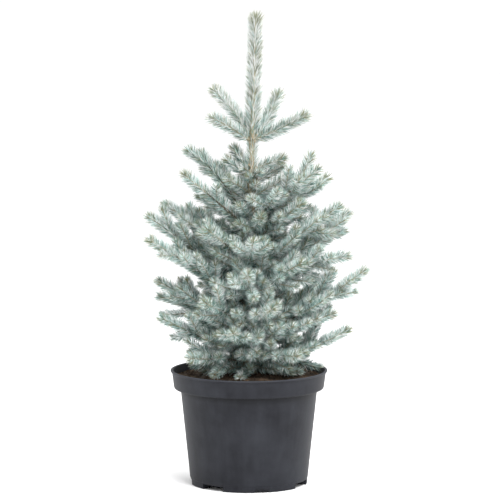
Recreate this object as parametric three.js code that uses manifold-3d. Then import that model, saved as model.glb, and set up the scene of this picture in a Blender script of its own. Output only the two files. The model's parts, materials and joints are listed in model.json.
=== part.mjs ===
// A young blue spruce in a round nursery pot: pot, soil, trunk, main limbs and masses of needled twigs.
// Millimetres, +Z up. The origin is the middle of the flat underside of the pot, and -Y is the front.

import * as THREE from 'three';
import { mergeVertices } from 'three/addons/utils/BufferGeometryUtils.js';
import Module from 'manifold-3d';

const wasm = await Module();
wasm.setup();

// ---- Driving dimensions ----

const CLEARANCE = 0.3; // between solids that touch

const POT = {
  height: 219,
  lipRadius: 150,
  lipHeight: 3.5,
  bandTopRadius: 147.4,
  bandFootRadius: 143.6,
  bandHeight: 35,
  bodyTopRadius: 131,
  bodyFootRadius: 113,
  footRadius: 111.8,
  footHeight: 12,
  wall: 2.4,
  hollowInner: 60, // the ring under the floor that is raised off the ground
  hollowOuter: 96,
  hollowHeight: 10,
  sides: 44,
};

const FOOT_NOTCHES = {
  count: 7,
  first: -38.5, // degrees from the front towards +X
  tall: { width: 49, height: 9.5 },
  low: { width: 29, height: 2.6 },
};

const SOIL = {
  edgeHeight: 204, // where the soil meets the pot wall
  middleHeight: 211,
  flatRadius: 26, // level place under the trunk
  lump: 1.6,
  sides: 26,
};

const TRUNK = {
  foot: SOIL.middleHeight + CLEARANCE,
  height: 686,
  lean: 11, // how far the tip stands to the right of the foot
  sway: 1.5,
  swayTurns: 1.3,
  sides: 10,
  // Radius at heights from the flared foot to the bud.
  radii: [[0, 16], [6, 12.5], [16, 10.4], [50, 9.4], [130, 8.2], [260, 6.9], [385, 5.6], [442, 4.9],
    [560, 3.6], [640, 2.5], [674, 2.1], [679, 2.9], [686, 0.4]],
};

const NEEDLE = {
  length: 23,
  lean: 44, // degrees between a needle and its twig
  leaderLength: 20,
  leaderLean: 36,
  leanSpread: 7,
  gap: CLEARANCE + 0.1,
  shares: [1, 0.8, 0.64], // tried in turn where a whole needle has no room
};

const TWIG = {
  footRadius: 3.4,
  sideFootRadius: 2.6,
  tipRadius: 1.8,
  tipPoint: 12, // how far the end needles reach past the twig
  bareFoot: 6, // bare wood between the trunk or a fork and the first needles
};

const LIMB = {
  footRadius: 4.6,
  tipRadius: 3.4,
  sides: 6,
  sections: 4,
};

const LEADER = {
  foot: 676,
  top: 890,
  sections: 12,
  sides: 5,
  skin: 0.9, // least thickness of the sleeve round the trunk
};

// How a bough branches: a season's growth, then a fork of side twigs, and so on back to its foot.
const GROWTH = {
  sway: 0.05,
  seasonShrink: 0.93,
  forkSpread: 8, // side twigs of one season start within this length
  sideShare: 0.66, // length of a side twig, as a share of what lies beyond its fork
  overShare: 0.53, // the same for an upper or lower one
  shareSpread: 0.2,
  sideAngle: 50,
  overAngle: 38,
  angleSpread: 9,
  forward: 0.16, // side twigs bend towards the bough's tip
  upward: 0.1,
  shortest: 24,
  shortestOver: 45,
  longest: 105,
  coreGap: 9, // least gap between twigs of two masses, which leaves room for needles
  ownGap: 7, // and between twigs of one mass
  seed: 447,
};

// Boughs by whorl, from the bottom up. In a whorl each bough starts a step above the one before,
// section is the length of one set of needles along its twigs, and season is the last year's growth.
// A row is [azimuth, reach, rise, limb, curl]: degrees from +X towards +Y (the back), then
// millimetres: how far the tip stands out from the trunk and above the bough's foot, and how much of
// it is bare limb. Curl is the part of the rise that comes from turning up towards the tip, or from
// turning down where it is below 0.
const WHORLS = [
  { name: 'skirt', foot: 236, step: 4, section: 27, season: 62, boughs: [
    [222, 160, 20, 0, 0], [357, 197, 62, 0, 0.8], [310, 150, 18, 0, 0], [195, 181, 80, 0, 0.2],
    [130, 178, 54, 0, 0], [344, 174, 79, 0, -0.3], [60, 182, 56, 0, 0], [258, 162, 48, 0, 0],
    [164, 189, 86, 0, -0.8]] },
  { name: 'lower', foot: 284, step: 5, section: 27, season: 66, boughs: [
    [352, 227, 136, 55, 0.4], [184, 183, 106, 50, 0], [36, 172, 82, 0, 0], [284, 172, 60, 0, 0],
    [238, 168, 64, 0, 0]] },
  { name: 'broad', foot: 338, step: 5, section: 27, season: 68, boughs: [
    [205, 218, 144, 60, -0.1], [350, 195, 98, 55, -0.9], [268, 170, 78, 0, 0],
    [22, 208, 162, 55, -0.2], [130, 158, 156, 0, -0.2], [72, 186, 124, 0, 0], [312, 150, 72, 0, 0],
    [178, 203, 144, 55, 0]] },
  { name: 'middle', foot: 398, step: 6, section: 27, season: 70, boughs: [
    [4, 176, 136, 0, -0.3], [174, 172, 135, 50, -0.2], [272, 146, 74, 0, 0], [88, 166, 124, 0, 0],
    [232, 142, 82, 0, 0]] },
  { name: 'upper', foot: 462, step: 6, section: 24, season: 72, boughs: [
    [330, 118, 88, 0, 0], [92, 126, 112, 0, 0], [24, 168, 111, 40, -0.2], [282, 100, 46, 0, 0],
    [205, 146, 118, 40, 0], [168, 129, 147, 40, -0.6], [356, 120, 148, 0, 1.1],
    [343, 140, 108, 0, 0]] },
  { name: 'stem', foot: 548, step: 9, section: 18, season: 90, boughs: [
    [345, 74, 44, 0, 0], [215, 62, 34, 0, 0], [95, 72, 50, 0, 0], [20, 72, 36, 0, 0],
    [168, 56, 43, 0, 0], [150, 46, 57, 0, 0], [355, 70, 26, 0, 0]] },
  { name: 'top', foot: 652, step: 3, section: 17, season: 150, boughs: [
    [52, 89, 100, 0, 0.4], [205, 92, 52, 0, -0.2], [350, 112, 53, 0, 0.15], [165, 80, 96, 0, -0.3]] },
];

const COLOURS = {
  pot: { color: 0x434549, roughness: 0.62, metalness: 0 },
  soil: { color: 0x2e2823, roughness: 0.95, metalness: 0 },
  bark: { color: 0x7d6a52, roughness: 0.85, metalness: 0 },
  needles: { color: 0x8ba29b, roughness: 0.6, metalness: 0 },
};

// ---- Helpers ----

const UP = new THREE.Vector3(0, 0, 1);
const RIGHT = new THREE.Vector3(1, 0, 0);

const radians = THREE.MathUtils.degToRad;

// A seeded stream of numbers from 0 to 1, from the 32-bit congruential rule.
function seededStream(seed) {
  let state = (seed * 7919 + 12345) >>> 0;
  const next = () => {
    state = (Math.imul(state, 1664525) + 1013904223) >>> 0;
    return state / 4294967296;
  };
  next();
  next();
  return next;
}

// Straight-line interpolation in a list of [position, value] pairs.
function interpolate(pairs, position) {
  const after = pairs.findIndex((pair) => pair[0] >= position);
  if (after <= 0) return pairs.at(after)[1];
  const [[p0, v0], [p1, v1]] = [pairs[after - 1], pairs[after]];
  return v0 + (v1 - v0) * (position - p0) / (p1 - p0);
}

// A closed geometry as a manifold solid: shared points are merged and empty triangles dropped.
function solidOf(geometry) {
  const bare = geometry.clone();
  bare.deleteAttribute('normal');
  bare.deleteAttribute('uv');
  const merged = mergeVertices(bare, 1e-4);
  const corners = merged.index.array;
  const kept = [];
  for (let i = 0; i < corners.length; i += 3) {
    const [a, b, c] = corners.slice(i, i + 3);
    if (a !== b && b !== c && c !== a) kept.push(a, b, c);
  }
  return new wasm.Manifold(new wasm.Mesh({
    numProp: 3,
    vertProperties: merged.attributes.position.array,
    triVerts: Uint32Array.from(kept),
  }));
}

function geometryOf(solid) {
  const mesh = solid.getMesh();
  const geometry = new THREE.BufferGeometry();
  geometry.setAttribute('position', new THREE.BufferAttribute(new Float32Array(mesh.vertProperties), 3));
  geometry.setIndex(new THREE.BufferAttribute(new Uint32Array(mesh.triVerts), 1));
  geometry.computeVertexNormals();
  return geometry;
}

function meshOf(name, solid, finish) {
  const mesh = new THREE.Mesh(geometryOf(solid), new THREE.MeshStandardMaterial(finish));
  mesh.name = name;
  return mesh;
}

// A solid of revolution about Z from a profile of [radius, height] pairs.
function turned(profile, sides) {
  const points = profile.map(([radius, height]) => new THREE.Vector2(radius, height));
  return new THREE.LatheGeometry(points, sides).rotateX(Math.PI / 2);
}

// ---- Pot and soil ----

// Inside radius of the pot at its rim, under its band and at its floor.
const INSIDE = {
  rim: POT.bandTopRadius - POT.wall,
  bandFoot: POT.bandFootRadius - POT.wall,
  bodyTop: POT.bodyTopRadius - POT.wall,
  floor: POT.bodyFootRadius - POT.wall,
  bandFootHeight: POT.height - POT.bandHeight + POT.wall,
  floorHeight: POT.hollowHeight + POT.wall,
};

function potSolid() {
  const bandFoot = POT.height - POT.bandHeight;
  const outside = [
    [0, 0],
    [POT.hollowInner, 0],
    [POT.hollowInner + 3, POT.hollowHeight],
    [POT.hollowOuter - 3, POT.hollowHeight],
    [POT.hollowOuter, 0],
    [POT.footRadius, 0],
    [POT.footRadius + 0.4, POT.footHeight],
    [POT.bodyFootRadius, POT.footHeight + 0.5],
    [POT.bodyTopRadius, bandFoot],
    [POT.bandFootRadius - 2, bandFoot],
    [POT.bandFootRadius, bandFoot + 3],
    [POT.bandTopRadius, POT.height - POT.lipHeight],
    [POT.lipRadius, POT.height - POT.lipHeight + 0.6],
    [POT.lipRadius, POT.height - 0.8],
    [POT.lipRadius - 1, POT.height],
  ];
  const inside = [
    [INSIDE.rim, POT.height],
    [INSIDE.bandFoot, INSIDE.bandFootHeight],
    [INSIDE.bodyTop, INSIDE.bandFootHeight],
    [INSIDE.floor, INSIDE.floorHeight],
    [POT.hollowInner, INSIDE.floorHeight],
    [POT.hollowInner - 4, POT.wall],
    [0, POT.wall],
  ];
  let pot = solidOf(turned([...outside, ...inside], POT.sides));
  const depth = POT.footRadius - POT.hollowOuter + 8;
  for (let i = 0; i < FOOT_NOTCHES.count; i += 1) {
    const size = i % 2 ? FOOT_NOTCHES.low : FOOT_NOTCHES.tall;
    const notch = new THREE.BoxGeometry(size.width, depth, 2 * size.height);
    notch.translate(0, -(POT.footRadius + POT.hollowOuter) / 2, 0);
    notch.rotateZ(radians(FOOT_NOTCHES.first + i * 360 / FOOT_NOTCHES.count));
    pot = pot.subtract(solidOf(notch));
  }
  return pot;
}

// Height of the soil: mounded round the trunk, with low clods away from it.
function soilHeight(radius, angle) {
  if (radius <= SOIL.flatRadius) return SOIL.middleHeight;
  const outward = (radius - SOIL.flatRadius) / (INSIDE.rim - SOIL.flatRadius);
  const slope = SOIL.middleHeight + (SOIL.edgeHeight - SOIL.middleHeight) * outward;
  const clods = Math.sin(3 * angle + radius / 13) + 0.7 * Math.sin(7 * angle - radius / 9);
  return slope + SOIL.lump * clods * Math.sin(Math.PI * outward);
}

function soilSolid() {
  const gap = CLEARANCE + 0.4; // the round walls have flat facets
  const edgeShare = (SOIL.edgeHeight - INSIDE.bandFootHeight) / (POT.height - INSIDE.bandFootHeight);
  const edgeRadius = INSIDE.bandFoot + (INSIDE.rim - INSIDE.bandFoot) * edgeShare - gap;
  const profile = [
    [0, POT.wall + CLEARANCE],
    [POT.hollowInner - 4 - gap, POT.wall + CLEARANCE],
    [POT.hollowInner - gap, INSIDE.floorHeight + CLEARANCE],
    [INSIDE.floor - gap, INSIDE.floorHeight + CLEARANCE],
    [INSIDE.bodyTop - gap, INSIDE.bandFootHeight + CLEARANCE],
    [INSIDE.bandFoot - gap, INSIDE.bandFootHeight + CLEARANCE],
    [edgeRadius, SOIL.edgeHeight],
    [118, SOIL.edgeHeight],
    [92, SOIL.edgeHeight],
    [66, SOIL.edgeHeight],
    [44, SOIL.edgeHeight],
    [SOIL.flatRadius, SOIL.middleHeight],
    [0, SOIL.middleHeight],
  ];
  const soil = turned(profile, SOIL.sides);
  const places = soil.attributes.position;
  for (let i = 0; i < places.count; i += 1) {
    const [x, y, z] = [places.getX(i), places.getY(i), places.getZ(i)];
    const radius = Math.hypot(x, y);
    if (z >= SOIL.edgeHeight - 0.01 && radius < edgeRadius - 1) {
      places.setZ(i, soilHeight(radius, Math.atan2(y, x)));
    }
  }
  return solidOf(soil);
}

// ---- Trunk ----

// How far the trunk's middle stands to the right at a height: an even lean with a slight sway.
function leanAt(height) {
  const along = (height - TRUNK.foot) / TRUNK.height;
  return TRUNK.lean * along + TRUNK.sway * Math.sin(2 * Math.PI * TRUNK.swayTurns * along);
}

function trunkRadius(height) {
  return interpolate(TRUNK.radii, height - TRUNK.foot);
}

// The trunk, thicker all round by grow: a turned taper whose middle follows the lean.
function trunkSolid(grow = 0) {
  const profile = TRUNK.radii.map(([height, radius]) => [radius + grow, TRUNK.foot + height]);
  const tip = TRUNK.foot + TRUNK.height + grow;
  const trunk = turned([[0, TRUNK.foot], ...profile, [0, tip]], TRUNK.sides);
  const places = trunk.attributes.position;
  for (let i = 0; i < places.count; i += 1) {
    places.setX(i, places.getX(i) + leanAt(places.getZ(i)));
  }
  return solidOf(trunk);
}

// ---- Tubes along curves, plain or with needles ----

// The place on a curve at t, with the headings along, across and over it there.
function frameAt(curve, t) {
  const chord = curve.v2.clone().sub(curve.v0).normalize();
  const upright = Math.abs(chord.z) > 0.85 ? RIGHT : UP;
  const middle = curve.getPoint(t);
  const ahead = curve.getTangent(t);
  const across = new THREE.Vector3().crossVectors(ahead, upright).normalize();
  const over = new THREE.Vector3().crossVectors(across, ahead);
  return { middle, ahead, across, over };
}

// A ring of points round a curve. Each ring of a tube is turned half a side from the last.
function ringAt(curve, t, radius, sides, turn) {
  const { middle, ahead, across, over } = frameAt(curve, t);
  const points = Array.from({ length: sides }, (_, k) => {
    const angle = 2 * Math.PI * (k + turn) / sides;
    return middle.clone()
      .addScaledVector(across, radius * Math.cos(angle))
      .addScaledVector(over, radius * Math.sin(angle));
  });
  return { middle, ahead, points };
}

// The triangular facets between two rings.
function facetsBetween(rear, front) {
  const sides = rear.points.length;
  const facets = [];
  for (let k = 0; k < sides; k += 1) {
    const next = (k + 1) % sides;
    facets.push([rear.points[k], rear.points[next], front.points[k]]);
    facets.push([front.points[k], rear.points[next], front.points[next]]);
  }
  return facets;
}

// A closed solid from loose triangles, turned outwards if they all face in.
function solidOfTriangles(triangles) {
  const corners = triangles.flat().flatMap((point) => [point.x, point.y, point.z]);
  let volume = 0;
  for (const [a, b, c] of triangles) volume += a.dot(new THREE.Vector3().crossVectors(b, c));
  const geometry = new THREE.BufferGeometry();
  geometry.setAttribute('position', new THREE.Float32BufferAttribute(corners, 3));
  const order = Array.from({ length: triangles.length * 3 }, (_, i) => i);
  geometry.setIndex(volume > 0 ? order : order.reverse());
  return solidOf(geometry);
}

// Both flat ends of a tube, as fans.
function endCaps(rings) {
  const [first, last] = [rings[0].points, rings.at(-1).points];
  const caps = [];
  for (let k = 1; k + 1 < first.length; k += 1) {
    caps.push([first[0], first[k + 1], first[k]], [last[0], last[k], last[k + 1]]);
  }
  return caps;
}

function limbTube(curve, from, to) {
  const rings = Array.from({ length: LIMB.sections + 1 }, (_, i) => {
    const share = i / LIMB.sections;
    const radius = LIMB.footRadius + (LIMB.tipRadius - LIMB.footRadius) * share;
    return ringAt(curve, from + (to - from) * share, radius, LIMB.sides, i / 2);
  });
  const sides = rings.slice(1).flatMap((ring, i) => facetsBetween(rings[i], ring));
  return { rings, triangles: [...sides, ...endCaps(rings)] };
}

// ---- Room between solids ----

const occupied = []; // cells of all limbs, twigs and needles made so far

// A convex cell, for testing what lies clear of what: its points, edges and facet normals.
function cellOf(points, triangles, owner, twig) {
  const edges = [];
  const normals = [];
  for (const [a, b, c] of triangles) {
    const [ab, bc, ca] = [b.clone().sub(a), c.clone().sub(b), a.clone().sub(c)];
    edges.push(ab, bc, ca);
    normals.push(new THREE.Vector3().crossVectors(ab, bc).normalize());
  }
  const sphere = new THREE.Box3().setFromPoints(points).getBoundingSphere(new THREE.Sphere());
  return { points, edges, normals, sphere, owner, twig };
}

// The cells of a tube, one for each section between its rings.
function cellsOf(rings, owner, twig) {
  return rings.slice(1).map((ring, i) => {
    const points = [...rings[i].points, ...ring.points];
    return cellOf(points, facetsBetween(rings[i], ring), owner, twig);
  });
}

// The gap between two cells along a direction, below zero where they overlap.
function gapAlong(direction, one, two) {
  let [low1, high1, low2, high2] = [Infinity, -Infinity, Infinity, -Infinity];
  for (const point of one.points) {
    const place = point.dot(direction);
    low1 = Math.min(low1, place);
    high1 = Math.max(high1, place);
  }
  for (const point of two.points) {
    const place = point.dot(direction);
    low2 = Math.min(low2, place);
    high2 = Math.max(high2, place);
  }
  return Math.max(low2 - high1, low1 - high2);
}

// Whether a plane parts two cells with a gap: facets' own planes first, then those of edge pairs.
function areParted(one, two, gap) {
  const reach = one.sphere.radius + two.sphere.radius + gap;
  if (one.sphere.center.distanceTo(two.sphere.center) > reach) return true;
  for (const normal of [...one.normals, ...two.normals]) {
    if (gapAlong(normal, one, two) >= gap) return true;
  }
  const direction = new THREE.Vector3();
  for (const edge of one.edges) {
    for (const other of two.edges) {
      direction.crossVectors(edge, other);
      if (direction.lengthSq() < 1e-6) continue;
      if (gapAlong(direction.normalize(), one, two) >= gap) return true;
    }
  }
  return false;
}

// Whether every point of a cell lies above the pot and soil and clear of the trunk.
function isInCrown(cell) {
  return cell.points.every((point) => {
    const isOverSoil = Math.hypot(point.x, point.y) < INSIDE.bandFoot - 5;
    const floor = isOverSoil ? SOIL.middleHeight + SOIL.lump + 1 : POT.height + 1;
    const fromTrunk = Math.hypot(point.x - leanAt(point.z), point.y);
    return point.z > floor && fromTrunk > trunkRadius(point.z) + 1;
  });
}

// ---- Growth ----

// A bough's whole line, from the middle of the trunk to its tip.
function boughCurve(height, [azimuth, reach, rise, , curl], random) {
  const out = new THREE.Vector3(Math.cos(radians(azimuth)), Math.sin(radians(azimuth)), 0);
  const foot = new THREE.Vector3(leanAt(height), 0, height);
  const tip = foot.clone().addScaledVector(out, reach).addScaledVector(UP, rise);
  const sideways = new THREE.Vector3().crossVectors(UP, out);
  const knee = foot.clone()
    .addScaledVector(out, reach / 2)
    .addScaledVector(UP, rise * (1 - curl) / 2)
    .addScaledVector(sideways, 2 * GROWTH.sway * reach * (random() - 0.5));
  return new THREE.QuadraticBezierCurve3(foot, knee, tip);
}

// The curve of a side twig that leaves a parent at t, at an angle to it and rolled round it.
function sideCurve(parent, t, length, angle, roll) {
  const { middle: foot, ahead, across, over } = frameAt(parent, t);
  const heading = ahead.clone().multiplyScalar(Math.cos(angle))
    .addScaledVector(across, Math.sin(angle) * Math.cos(roll))
    .addScaledVector(over, Math.sin(angle) * Math.sin(roll));
  const knee = foot.clone().addScaledVector(heading, length / 2);
  const tip = foot.clone()
    .addScaledVector(heading, length)
    .addScaledVector(ahead, length * GROWTH.forward)
    .addScaledVector(UP, length * GROWTH.upward);
  return new THREE.QuadraticBezierCurve3(foot, knee, tip);
}

// A number between -1 and 1.
function either(random) {
  return 2 * random() - 1;
}

// The side twigs of a twig: at the end of each season a left, a right, an upper and a lower one.
function sideTwigs(twig, random) {
  const sides = [];
  const length = twig.curve.getLength();
  const needled = length * (1 - twig.start) - GROWTH.forkSpread;
  let { season } = twig;
  for (let beyond = season; beyond < needled; beyond += season) {
    const overRoll = random() < 0.5 ? Math.PI / 2 : -Math.PI / 2;
    for (const roll of [0, Math.PI, overRoll, -overRoll]) {
      const isOver = Math.abs(roll) === Math.PI / 2;
      const angle = (isOver ? GROWTH.overAngle : GROWTH.sideAngle) + GROWTH.angleSpread * either(random);
      const share = isOver ? GROWTH.overShare : GROWTH.sideShare;
      const grown = Math.min(share * (1 + GROWTH.shareSpread * either(random)) * beyond, GROWTH.longest);
      const t = 1 - (beyond + GROWTH.forkSpread * random()) / length;
      if (grown < (isOver ? GROWTH.shortestOver : GROWTH.shortest)) continue;
      const curve = sideCurve(twig.curve, t, grown, radians(angle), roll);
      const { owner, section, season: lastSeason } = twig;
      sides.push({ curve, start: 0, owner, section, season: lastSeason, parent: twig });
    }
    season *= GROWTH.seasonShrink;
  }
  return sides;
}

// A twig's rings, from bare foot to tip, with a cell for each section.
function buildTwig(twig, footRadius, bareFoot) {
  twig.bareSections = 1;
  twig.needleLength = NEEDLE.length;
  twig.needleLean = NEEDLE.lean;
  const length = twig.curve.getLength();
  const first = twig.start;
  const needleFoot = first + bareFoot / length;
  const end = 1 - TWIG.tipPoint / length;
  const sections = Math.max(1, Math.round((end - needleFoot) * length / twig.section));
  const stops = [first];
  for (let i = 0; i <= sections; i += 1) stops.push(needleFoot + (end - needleFoot) * i / sections);
  twig.rings = stops.map((t, i) => {
    const share = Math.max(0, t - first) / (1 - first);
    const radius = footRadius + (TWIG.tipRadius - footRadius) * share;
    return ringAt(twig.curve, t, radius, 3, i / 2);
  });
  twig.cells = cellsOf(twig.rings, twig.owner, twig);
  return twig;
}

// The tip of a needle that stands on a facet and leans forward along its twig.
function needleTip(facet, ring, length, lean) {
  const root = facet[0].clone().add(facet[1]).add(facet[2]).divideScalar(3);
  const outward = root.clone().sub(ring.middle);
  outward.addScaledVector(ring.ahead, -outward.dot(ring.ahead)).normalize();
  return root
    .addScaledVector(ring.ahead, length * Math.cos(lean))
    .addScaledVector(outward, length * Math.sin(lean));
}

// A facet raised to a point: the three triangles that take its place.
function raised(facet, tip) {
  const [a, b, c] = facet;
  return [[a, b, tip], [b, c, tip], [c, a, tip]];
}

// The longest needle that stands on a facet and stays clear of all that is near, or none.
function growNeedle(facet, ring, twig, near, lean) {
  for (const share of NEEDLE.shares) {
    const tip = needleTip(facet, ring, share * twig.needleLength, lean);
    const cell = cellOf([...facet, tip], raised(facet, tip), twig.owner, twig);
    const isFree = isInCrown(cell) && near.every((other) => areParted(cell, other, NEEDLE.gap));
    if (isFree) return { tip, cell };
  }
  return null;
}

// The triangles of a twig's sides, with needles on every section past the bare ones.
function needledSides(twig, random) {
  const triangles = [];
  const near = occupied.filter((cell) => cell.twig !== twig && isNear(cell, twig));
  twig.rings.slice(1).forEach((ring, i) => {
    for (const facet of facetsBetween(twig.rings[i], ring)) {
      const lean = radians(twig.needleLean + NEEDLE.leanSpread * either(random));
      const needle = i >= twig.bareSections ? growNeedle(facet, ring, twig, near, lean) : null;
      triangles.push(...(needle ? raised(facet, needle.tip) : [facet]));
      if (needle) occupied.push(needle.cell);
    }
  });
  return triangles;
}

// A twig as a closed solid, whose end runs out to a point.
function needledTwig(twig, random) {
  const triangles = needledSides(twig, random);
  const [foot, end] = [twig.rings[0].points, twig.rings.at(-1)];
  const point = end.middle.clone().addScaledVector(end.ahead, TWIG.tipPoint);
  triangles.push([foot[0], foot[2], foot[1]]);
  for (let k = 0; k < 3; k += 1) triangles.push([end.points[k], end.points[(k + 1) % 3], point]);
  return solidOfTriangles(triangles);
}

// Whether a cell is close enough to a twig for one of its needles to meet it.
function isNear(cell, twig) {
  const reach = cell.sphere.radius + NEEDLE.length + twig.section;
  return twig.rings.some((ring) => ring.middle.distanceTo(cell.sphere.center) < reach);
}

// ---- The leader ----

// The sleeve round the trunk's top season, as a twig with a wider core.
function buildLeader() {
  const foot = new THREE.Vector3(leanAt(LEADER.foot), 0, LEADER.foot);
  const top = new THREE.Vector3(leanAt(LEADER.top), 0, LEADER.top);
  const middle = (LEADER.foot + LEADER.top) / 2;
  const knee = new THREE.Vector3(2 * leanAt(middle) - (foot.x + top.x) / 2, 0, middle);
  const curve = new THREE.QuadraticBezierCurve3(foot, knee, top);
  const squeeze = Math.cos(Math.PI / LEADER.sides);
  const twig = {
    owner: 'leader',
    section: (LEADER.top - LEADER.foot) / LEADER.sections,
    bareSections: 0,
    needleLength: NEEDLE.leaderLength,
    needleLean: NEEDLE.leaderLean,
  };
  twig.rings = Array.from({ length: LEADER.sections + 1 }, (_, i) => {
    const height = LEADER.foot + (LEADER.top - LEADER.foot) * i / LEADER.sections;
    const radius = (trunkRadius(height) + CLEARANCE + LEADER.skin) / squeeze;
    return ringAt(curve, i / LEADER.sections, radius, LEADER.sides, i / 2);
  });
  twig.cells = cellsOf(twig.rings, twig.owner, twig);
  return twig;
}

// ---- The whole plant ----

const plant = new THREE.Group();
plant.add(meshOf('pot', potSolid(), COLOURS.pot));
plant.add(meshOf('soil', soilSolid(), COLOURS.soil));
plant.add(meshOf('trunk', trunkSolid(), COLOURS.bark));

const trunkRoom = trunkSolid(CLEARANCE);
const leader = buildLeader();
occupied.push(...leader.cells);

const masses = [];
for (const whorl of WHORLS) {
  whorl.boughs.forEach((row, i) => {
    const random = seededStream(GROWTH.seed + masses.length);
    const curve = boughCurve(whorl.foot + i * whorl.step, row, random);
    const owner = `${whorl.name}_${i + 1}`;
    const limb = row[3];
    const length = curve.getLength();
    if (limb > 0) {
      const { rings, triangles } = limbTube(curve, 0, limb / length);
      occupied.push(...cellsOf(rings, `limb_${owner}`, null));
      const solid = solidOfTriangles(triangles).subtract(trunkRoom);
      plant.add(meshOf(`limb_${owner}`, solid, COLOURS.bark));
    }
    const start = limb > 0 ? (limb + CLEARANCE) / length : 0;
    const bareFoot = limb > 0 ? TWIG.bareFoot / 2 : TWIG.bareFoot + trunkRadius(whorl.foot);
    const { section, season } = whorl;
    const stem = buildTwig({ curve, start, owner, section, season }, TWIG.footRadius, bareFoot);
    occupied.push(...stem.cells);
    masses.push({ owner, random, stem, twigs: [stem] });
  });
}

// Whether a side twig has room: each mass keeps to its own space, so a twig has to keep its distance
// from all that has grown, but for its parent and, round its own foot, the rest of its mass.
function hasRoom(twig) {
  return twig.cells.every((cell, i) => isInCrown(cell) && occupied.every((other) => {
    const isOwn = other.owner === twig.owner;
    if (isOwn && (i === 0 || other.twig === twig.parent)) return true;
    return areParted(cell, other, isOwn ? GROWTH.ownGap : GROWTH.coreGap);
  }));
}

// Side twigs are tried mass by mass, and those of the side twigs after all of them.
for (const order of [1, 2]) {
  for (const mass of masses) {
    const parents = order === 1 ? [mass.stem] : mass.twigs.slice(1);
    for (const twig of parents.flatMap((parent) => sideTwigs(parent, mass.random))) {
      buildTwig(twig, TWIG.sideFootRadius, TWIG.bareFoot);
      if (!hasRoom(twig)) continue;
      mass.twigs.push(twig);
      occupied.push(...twig.cells);
    }
  }
}

const leaderSides = needledSides(leader, seededStream(GROWTH.seed));
const sleeve = solidOfTriangles([...leaderSides, ...endCaps(leader.rings)]);
plant.add(meshOf('leader_needles', sleeve.subtract(trunkRoom), COLOURS.needles));

for (const mass of masses) {
  const solids = mass.twigs.map((twig) => needledTwig(twig, mass.random));
  const solid = solids.reduce((joined, next) => joined.add(next)).subtract(trunkRoom);
  plant.add(meshOf(`foliage_${mass.owner}`, solid, COLOURS.needles));
}

export default plant;
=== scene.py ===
"""The looks of a young blue spruce in a round nursery pot, built round its solid frame.

Lengths are in metres, +Z is up and -Y is the front. The crown grows by the same seeded rule as the
frame's solid twigs, then on to finer twigs, and every twig is dressed with its own needles and buds.
"""

import json
import math

import bpy
import numpy as np
from bpy.props import FloatProperty, FloatVectorProperty, IntProperty, PointerProperty
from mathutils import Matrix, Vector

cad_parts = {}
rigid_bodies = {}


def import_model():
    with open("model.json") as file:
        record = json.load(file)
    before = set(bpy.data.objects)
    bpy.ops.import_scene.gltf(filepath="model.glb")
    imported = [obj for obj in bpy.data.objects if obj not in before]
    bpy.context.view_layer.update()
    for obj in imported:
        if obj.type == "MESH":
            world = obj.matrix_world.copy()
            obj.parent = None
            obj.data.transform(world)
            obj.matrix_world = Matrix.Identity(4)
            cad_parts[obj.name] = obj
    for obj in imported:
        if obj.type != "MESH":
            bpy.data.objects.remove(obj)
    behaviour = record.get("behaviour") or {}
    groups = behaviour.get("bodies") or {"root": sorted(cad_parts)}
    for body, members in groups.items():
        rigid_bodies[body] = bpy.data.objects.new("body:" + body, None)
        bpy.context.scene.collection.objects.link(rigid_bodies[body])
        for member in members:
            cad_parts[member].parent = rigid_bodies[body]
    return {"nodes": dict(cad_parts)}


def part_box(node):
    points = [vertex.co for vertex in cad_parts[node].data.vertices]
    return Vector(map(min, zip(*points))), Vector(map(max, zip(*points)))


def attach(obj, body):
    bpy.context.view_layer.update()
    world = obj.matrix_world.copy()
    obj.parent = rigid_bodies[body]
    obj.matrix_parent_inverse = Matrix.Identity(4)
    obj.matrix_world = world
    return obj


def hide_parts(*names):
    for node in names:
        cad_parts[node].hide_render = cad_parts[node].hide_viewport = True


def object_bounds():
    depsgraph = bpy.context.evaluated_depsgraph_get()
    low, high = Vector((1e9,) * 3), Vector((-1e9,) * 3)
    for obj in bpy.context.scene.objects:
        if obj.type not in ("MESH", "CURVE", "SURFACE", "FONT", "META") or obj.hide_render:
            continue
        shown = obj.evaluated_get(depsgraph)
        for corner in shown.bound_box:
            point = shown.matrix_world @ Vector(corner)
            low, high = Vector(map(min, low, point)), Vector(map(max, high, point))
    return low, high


bl_info = {
    "name": "Potted Blue Spruce",
    "version": (1, 0, 0),
    "blender": (4, 5, 0),
    "location": "3D Viewport > Sidebar > Spruce",
    "description": "Builds a needled young blue spruce and its nursery pot round a solid frame",
    "category": "Add Mesh",
}

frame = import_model()
FRAME_BOX = [list(corner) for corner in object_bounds()]

MM = 0.001
UP = np.array([0.0, 0.0, 1.0])
RIGHT = np.array([1.0, 0.0, 0.0])
GOLDEN_ANGLE = math.pi * (3 - math.sqrt(5))

POT_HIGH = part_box("pot")[1]
TRUNK_LOW, TRUNK_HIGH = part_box("trunk")
CROWN_NODES = sorted(n for n in frame["nodes"] if n.startswith("foliage_")) + ["leader_needles"]
LIMB_NODES = sorted(n for n in frame["nodes"] if n.startswith("limb_"))


# ---- Settings ----


def length(name, description, default):
    """A size in metres that shows with its unit."""
    return FloatProperty(name=name, description=description, default=default, min=0,
                         subtype="DISTANCE", unit="LENGTH", precision=5)


def tilt(name, description, degrees):
    """An angle, given in degrees."""
    return FloatProperty(name=name, description=description, default=math.radians(degrees),
                         subtype="ANGLE")


def colour(name, description, red, green, blue):
    """A colour, given as the 0 to 255 levels of a screen and kept as linear light."""
    levels = np.array([red, green, blue]) / 255
    light = np.where(levels <= 0.04045, levels / 12.92, ((levels + 0.055) / 1.055) ** 2.4)
    return FloatVectorProperty(name=name, description=description, subtype="COLOR", size=3,
                               min=0, max=1, default=tuple(float(x) for x in light))


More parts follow.
